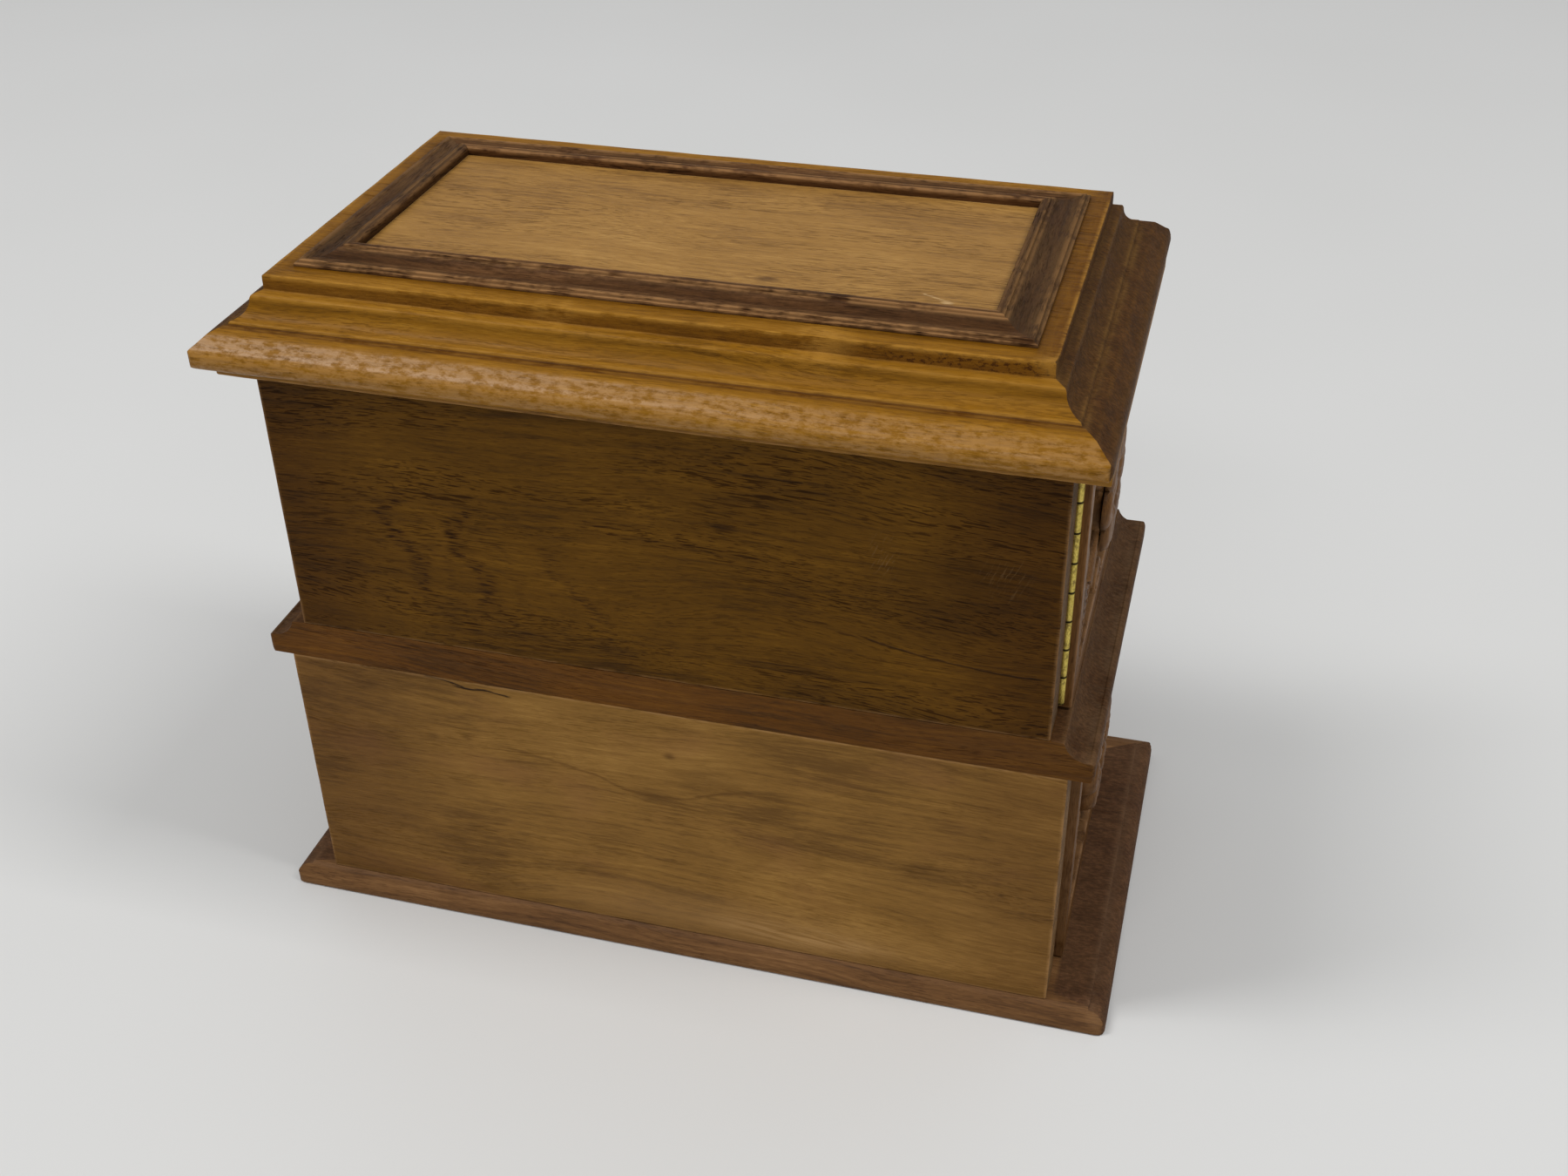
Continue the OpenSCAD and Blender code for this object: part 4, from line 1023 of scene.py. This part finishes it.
def countersink(obj):
    """Cuts the screws' countersinks into the underside."""
    low, high = mm_box("base_screws")
    bm = bmesh.new()
    for x in (low[0] + HEAD_R, (low[0] + high[0]) / 2, high[0] - HEAD_R):
        for y in (low[1] + HEAD_R, high[1] - HEAD_R):
            where = Matrix.Translation(Vector((x, y, 0.9)) * MM)
            bmesh.ops.create_cone(bm, cap_ends=True, segments=40, radius1=3.9 * MM, radius2=1.8 * MM,
                                  depth=2.6 * MM, matrix=where)
    mesh = bpy.data.meshes.new("cutter")
    bm.to_mesh(mesh)
    bm.free()
    cutter = bpy.data.objects.new("cutter", mesh)
    scene.collection.objects.link(cutter)
    tool = obj.modifiers.new("countersinks", "BOOLEAN")
    tool.operation, tool.solver, tool.object = "DIFFERENCE", "EXACT", cutter
    bpy.context.view_layer.update()
    done = bpy.data.meshes.new_from_object(obj.evaluated_get(bpy.context.evaluated_depsgraph_get()))
    obj.modifiers.clear()
    obj.data = done
    bpy.data.objects.remove(cutter)


countersink(base)

board("upper_back_board_worn", "upper_back_board", "case", upper_wood, 0.4)
board("lower_back_board_worn", "lower_back_board", "case", lower_wood, 0.45, wear=0.6)
board("top_board_worn", "top_board", "case", under_wood, 0.6)
board("lid_panel_board", "lid_panel", "case", panel_wood, 0.12)
board("lower_front_board_worn", "lower_front_board", "case", front_wood, 0.4)
board("upper_front_board_worn", "upper_front_board", "case", front_wood, 0.4)

FRAME_W, FRAME_H = 10.8, 2.8
step_z = FRAME_H * 0.42
frame_points = ([(0, 0), (0, FRAME_H * 0.3), (0.9, FRAME_H * 0.34), (1, FRAME_H * 0.52),
                 (2, FRAME_H * 0.52), (2.3, step_z)]
                + arc(4.6, step_z + 4.1, 4.2, 255, 318, 8)
                + [(FRAME_W - 2.3, FRAME_H * 0.82), (FRAME_W - 2.2, FRAME_H),
                   (FRAME_W - 0.4, FRAME_H), (FRAME_W, FRAME_H * 0.85), (FRAME_W, 0)])


def frame_strip(side, axis, sign, material):
    """A mitred strip of the picture frame, its outline running inwards from its outer edge."""
    node = "lid_frame_" + side
    low, high = mm_box(node)
    u = 1 - axis
    outline, worn_at, dust_and_shade_at = profile(frame_points, 0.16)
    outer = high[u] if sign > 0 else low[u]
    half = (high[axis] - low[axis]) / 2
    middle = (high[axis] + low[axis]) / 2
    verts, worn, dust_and_shade, rows = [], [], [], []
    for t in spaced(2 * half) / half - 1:
        row = []
        for k, (o, z) in enumerate(outline):
            p = np.zeros(3)
            p[axis] = middle + t * (half - o)
            p[u] = outer - sign * o
            p[2] = low[2] + z
            rub = chance(p, 0.2, 2.2) ** 2 * 0.12 * worn_at[k] + chance(p, 0.06, 4.4) * 0.04
            p[2] = max(low[2], p[2] - rub)
            row.append(len(verts))
            verts.append(p)
            worn.append(worn_at[k])
            dust_and_shade.append(dust_and_shade_at[k])
        rows.append(row)
    faces = [rows[0], rows[-1]] + loft(rows)
    piece(node + "_strip", verts, faces, "case", material, [node], worn, dust_and_shade, 30)


frame_strip("back", 0, 1, frame_x)
frame_strip("front", 0, -1, frame_x)
frame_strip("right", 1, 1, frame_y)
frame_strip("left", 1, -1, frame_y)

# Front overlays, with two bays each
CASE_X = 2.2
RIM = 8.0
ROSETTE_R = 17
for tier in ("lower", "upper"):
    node = tier + "_front_fret"
    low, high = mm_box(node)
    size = (high[0] - low[0], high[2] - low[2])
    middle_z = (high[2] + low[2]) / 2
    bay_w = (size[0] - 3 * RIM) / 2
    bays = (-(bay_w + RIM) / 2, (bay_w + RIM) / 2)
    carved(node, "case", carved_x, size, 0.5,
           lambda a, b: rimmed_depth(a, b, bays, bay_w, size[1] - 2 * RIM, 4.0, 2.5),
           lambda a, b, t: (CASE_X + a, high[1] - t, middle_z + b))

rosettes = [[], [], [], []]
low, high = mm_box("front_rosettes")
for x in (low[0] + ROSETTE_R, high[0] - ROSETTE_R):
    for z in (low[2] + ROSETTE_R, high[2] - ROSETTE_R):
        v, f, w, d = rosette_mesh(ROSETTE_R, 5, lambda a, b, t: (x + a, high[1] - t, z + b), 176, 36)
        rosettes[1] += [[k + len(rosettes[0]) for k in face] for face in f]
        rosettes[0] += v
        rosettes[2] += w
        rosettes[3] += d
piece("front_rosettes_carved", rosettes[0], rosettes[1], "case", carved_x,
      ["front_rosettes"], rosettes[2], rosettes[3], 50)


def end_panel(node, body, sign, depth):
    """A carved panel on an end of the box, built outwards from its inner face; returns its middle."""
    low, high = mm_box(node)
    size = (high[1] - low[1], high[2] - low[2])
    y, z = (low[1] + high[1]) / 2, (low[2] + high[2]) / 2
    inner = low[0] if sign > 0 else high[0]
    carved(node, body, carved_z, size, 0.42, lambda a, b: depth(a, b, *size),
           lambda a, b, t: (inner + sign * t, y + a, z + b))
    return y, z


def end_rosette(node, body, sign, middle, height):
    """A carved rosette in front of an end panel's middle."""
    low, high = mm_box(node)
    inner = low[0] if sign > 0 else high[0]
    v, f, w, d = rosette_mesh(ROSETTE_R, height,
                              lambda a, b, t: (inner + sign * t, middle[0] + a, middle[1] + b))
    piece(node + "_carved", v, f, body, carved_z, [node], w, d, 50)


def drawer_panel(a, b, w, h):
    return rimmed_depth(a, b, (0.0,), w - 2 * RIM, h - 2 * RIM, 6.0, 4.0)


DOOR_STRIP = 6.0
DRAWER_SIDE = 6
for side, sign in (("left", -1), ("right", 1)):
    door, drawer, catch = "door_" + side, "drawer_" + side, "catch_" + side

    # Door
    two_boards(door + "_stiles", door, carved_z, 0.45, 1, DOOR_STRIP)
    two_boards(door + "_rails", door, carved_y, 0.45, 2, DOOR_STRIP)
    middle = end_panel(door + "_fret", door, sign, lambda a, b, w, h: door_depth(a, b, w, h, 3.5))
    end_rosette(door + "_rosette", catch, sign, middle, 2.6)

    # Drawer
    middle = end_panel(drawer + "_fret", drawer, sign, drawer_panel)
    end_rosette(drawer + "_rosette", drawer, sign, middle, 5.3)
    board(drawer + "_front_worn", drawer + "_front", drawer, plain["Y"], 0.4)
    two_boards(drawer + "_sides", drawer, plain["X"], 0.4, 1, DRAWER_SIDE)
    refined(drawer + "_back", plain["Y"])
    refined(drawer + "_bottom", plain["Y"], 0.15)
    board(drawer + "_felt_pad", drawer + "_felt", drawer, felt_material(), 0.3)
    refined("drawer_key_" + side, plain["Y"], 0.3)
    refined("shelf_" + side, plain["Y"])
    refined(door + "_catch", plain["X"], 0.2)

refined("lower_partition", plain["Y"])
refined("upper_partition", plain["Y"])

hinge_low = mm_box("hinge_right_case_leaf")[0]
KNUCKLE = 7.9
brass = brass_material(float(hinge_low[2]), KNUCKLE)
steel = steel_material()
for side in ("left", "right"):
    for part in ("case_leaf", "door_leaf", "pin", "door_nails"):
        refined(f"hinge_{side}_{part}", brass, 0.05 if "leaf" in part else 0.0, 30)
refined("hinge_case_nails", brass, 0.0, 30)
refined("drawer_stop_pins", brass, 0.15, 30)
refined("base_screws", steel, 0.08, 30)

floor_mesh = bpy.data.meshes.new("floor")
reach = 6.0
floor_mesh.from_pydata([(-reach, -reach, -0.0002), (reach, -reach, -0.0002), (reach, reach, -0.0002),
                        (-reach, reach, -0.0002)], [], [(0, 1, 2, 3)])
floor_mesh.materials.append(floor_material())
floor = bpy.data.objects.new("floor", floor_mesh)
scene.collection.objects.link(floor)

bpy.context.view_layer.update()
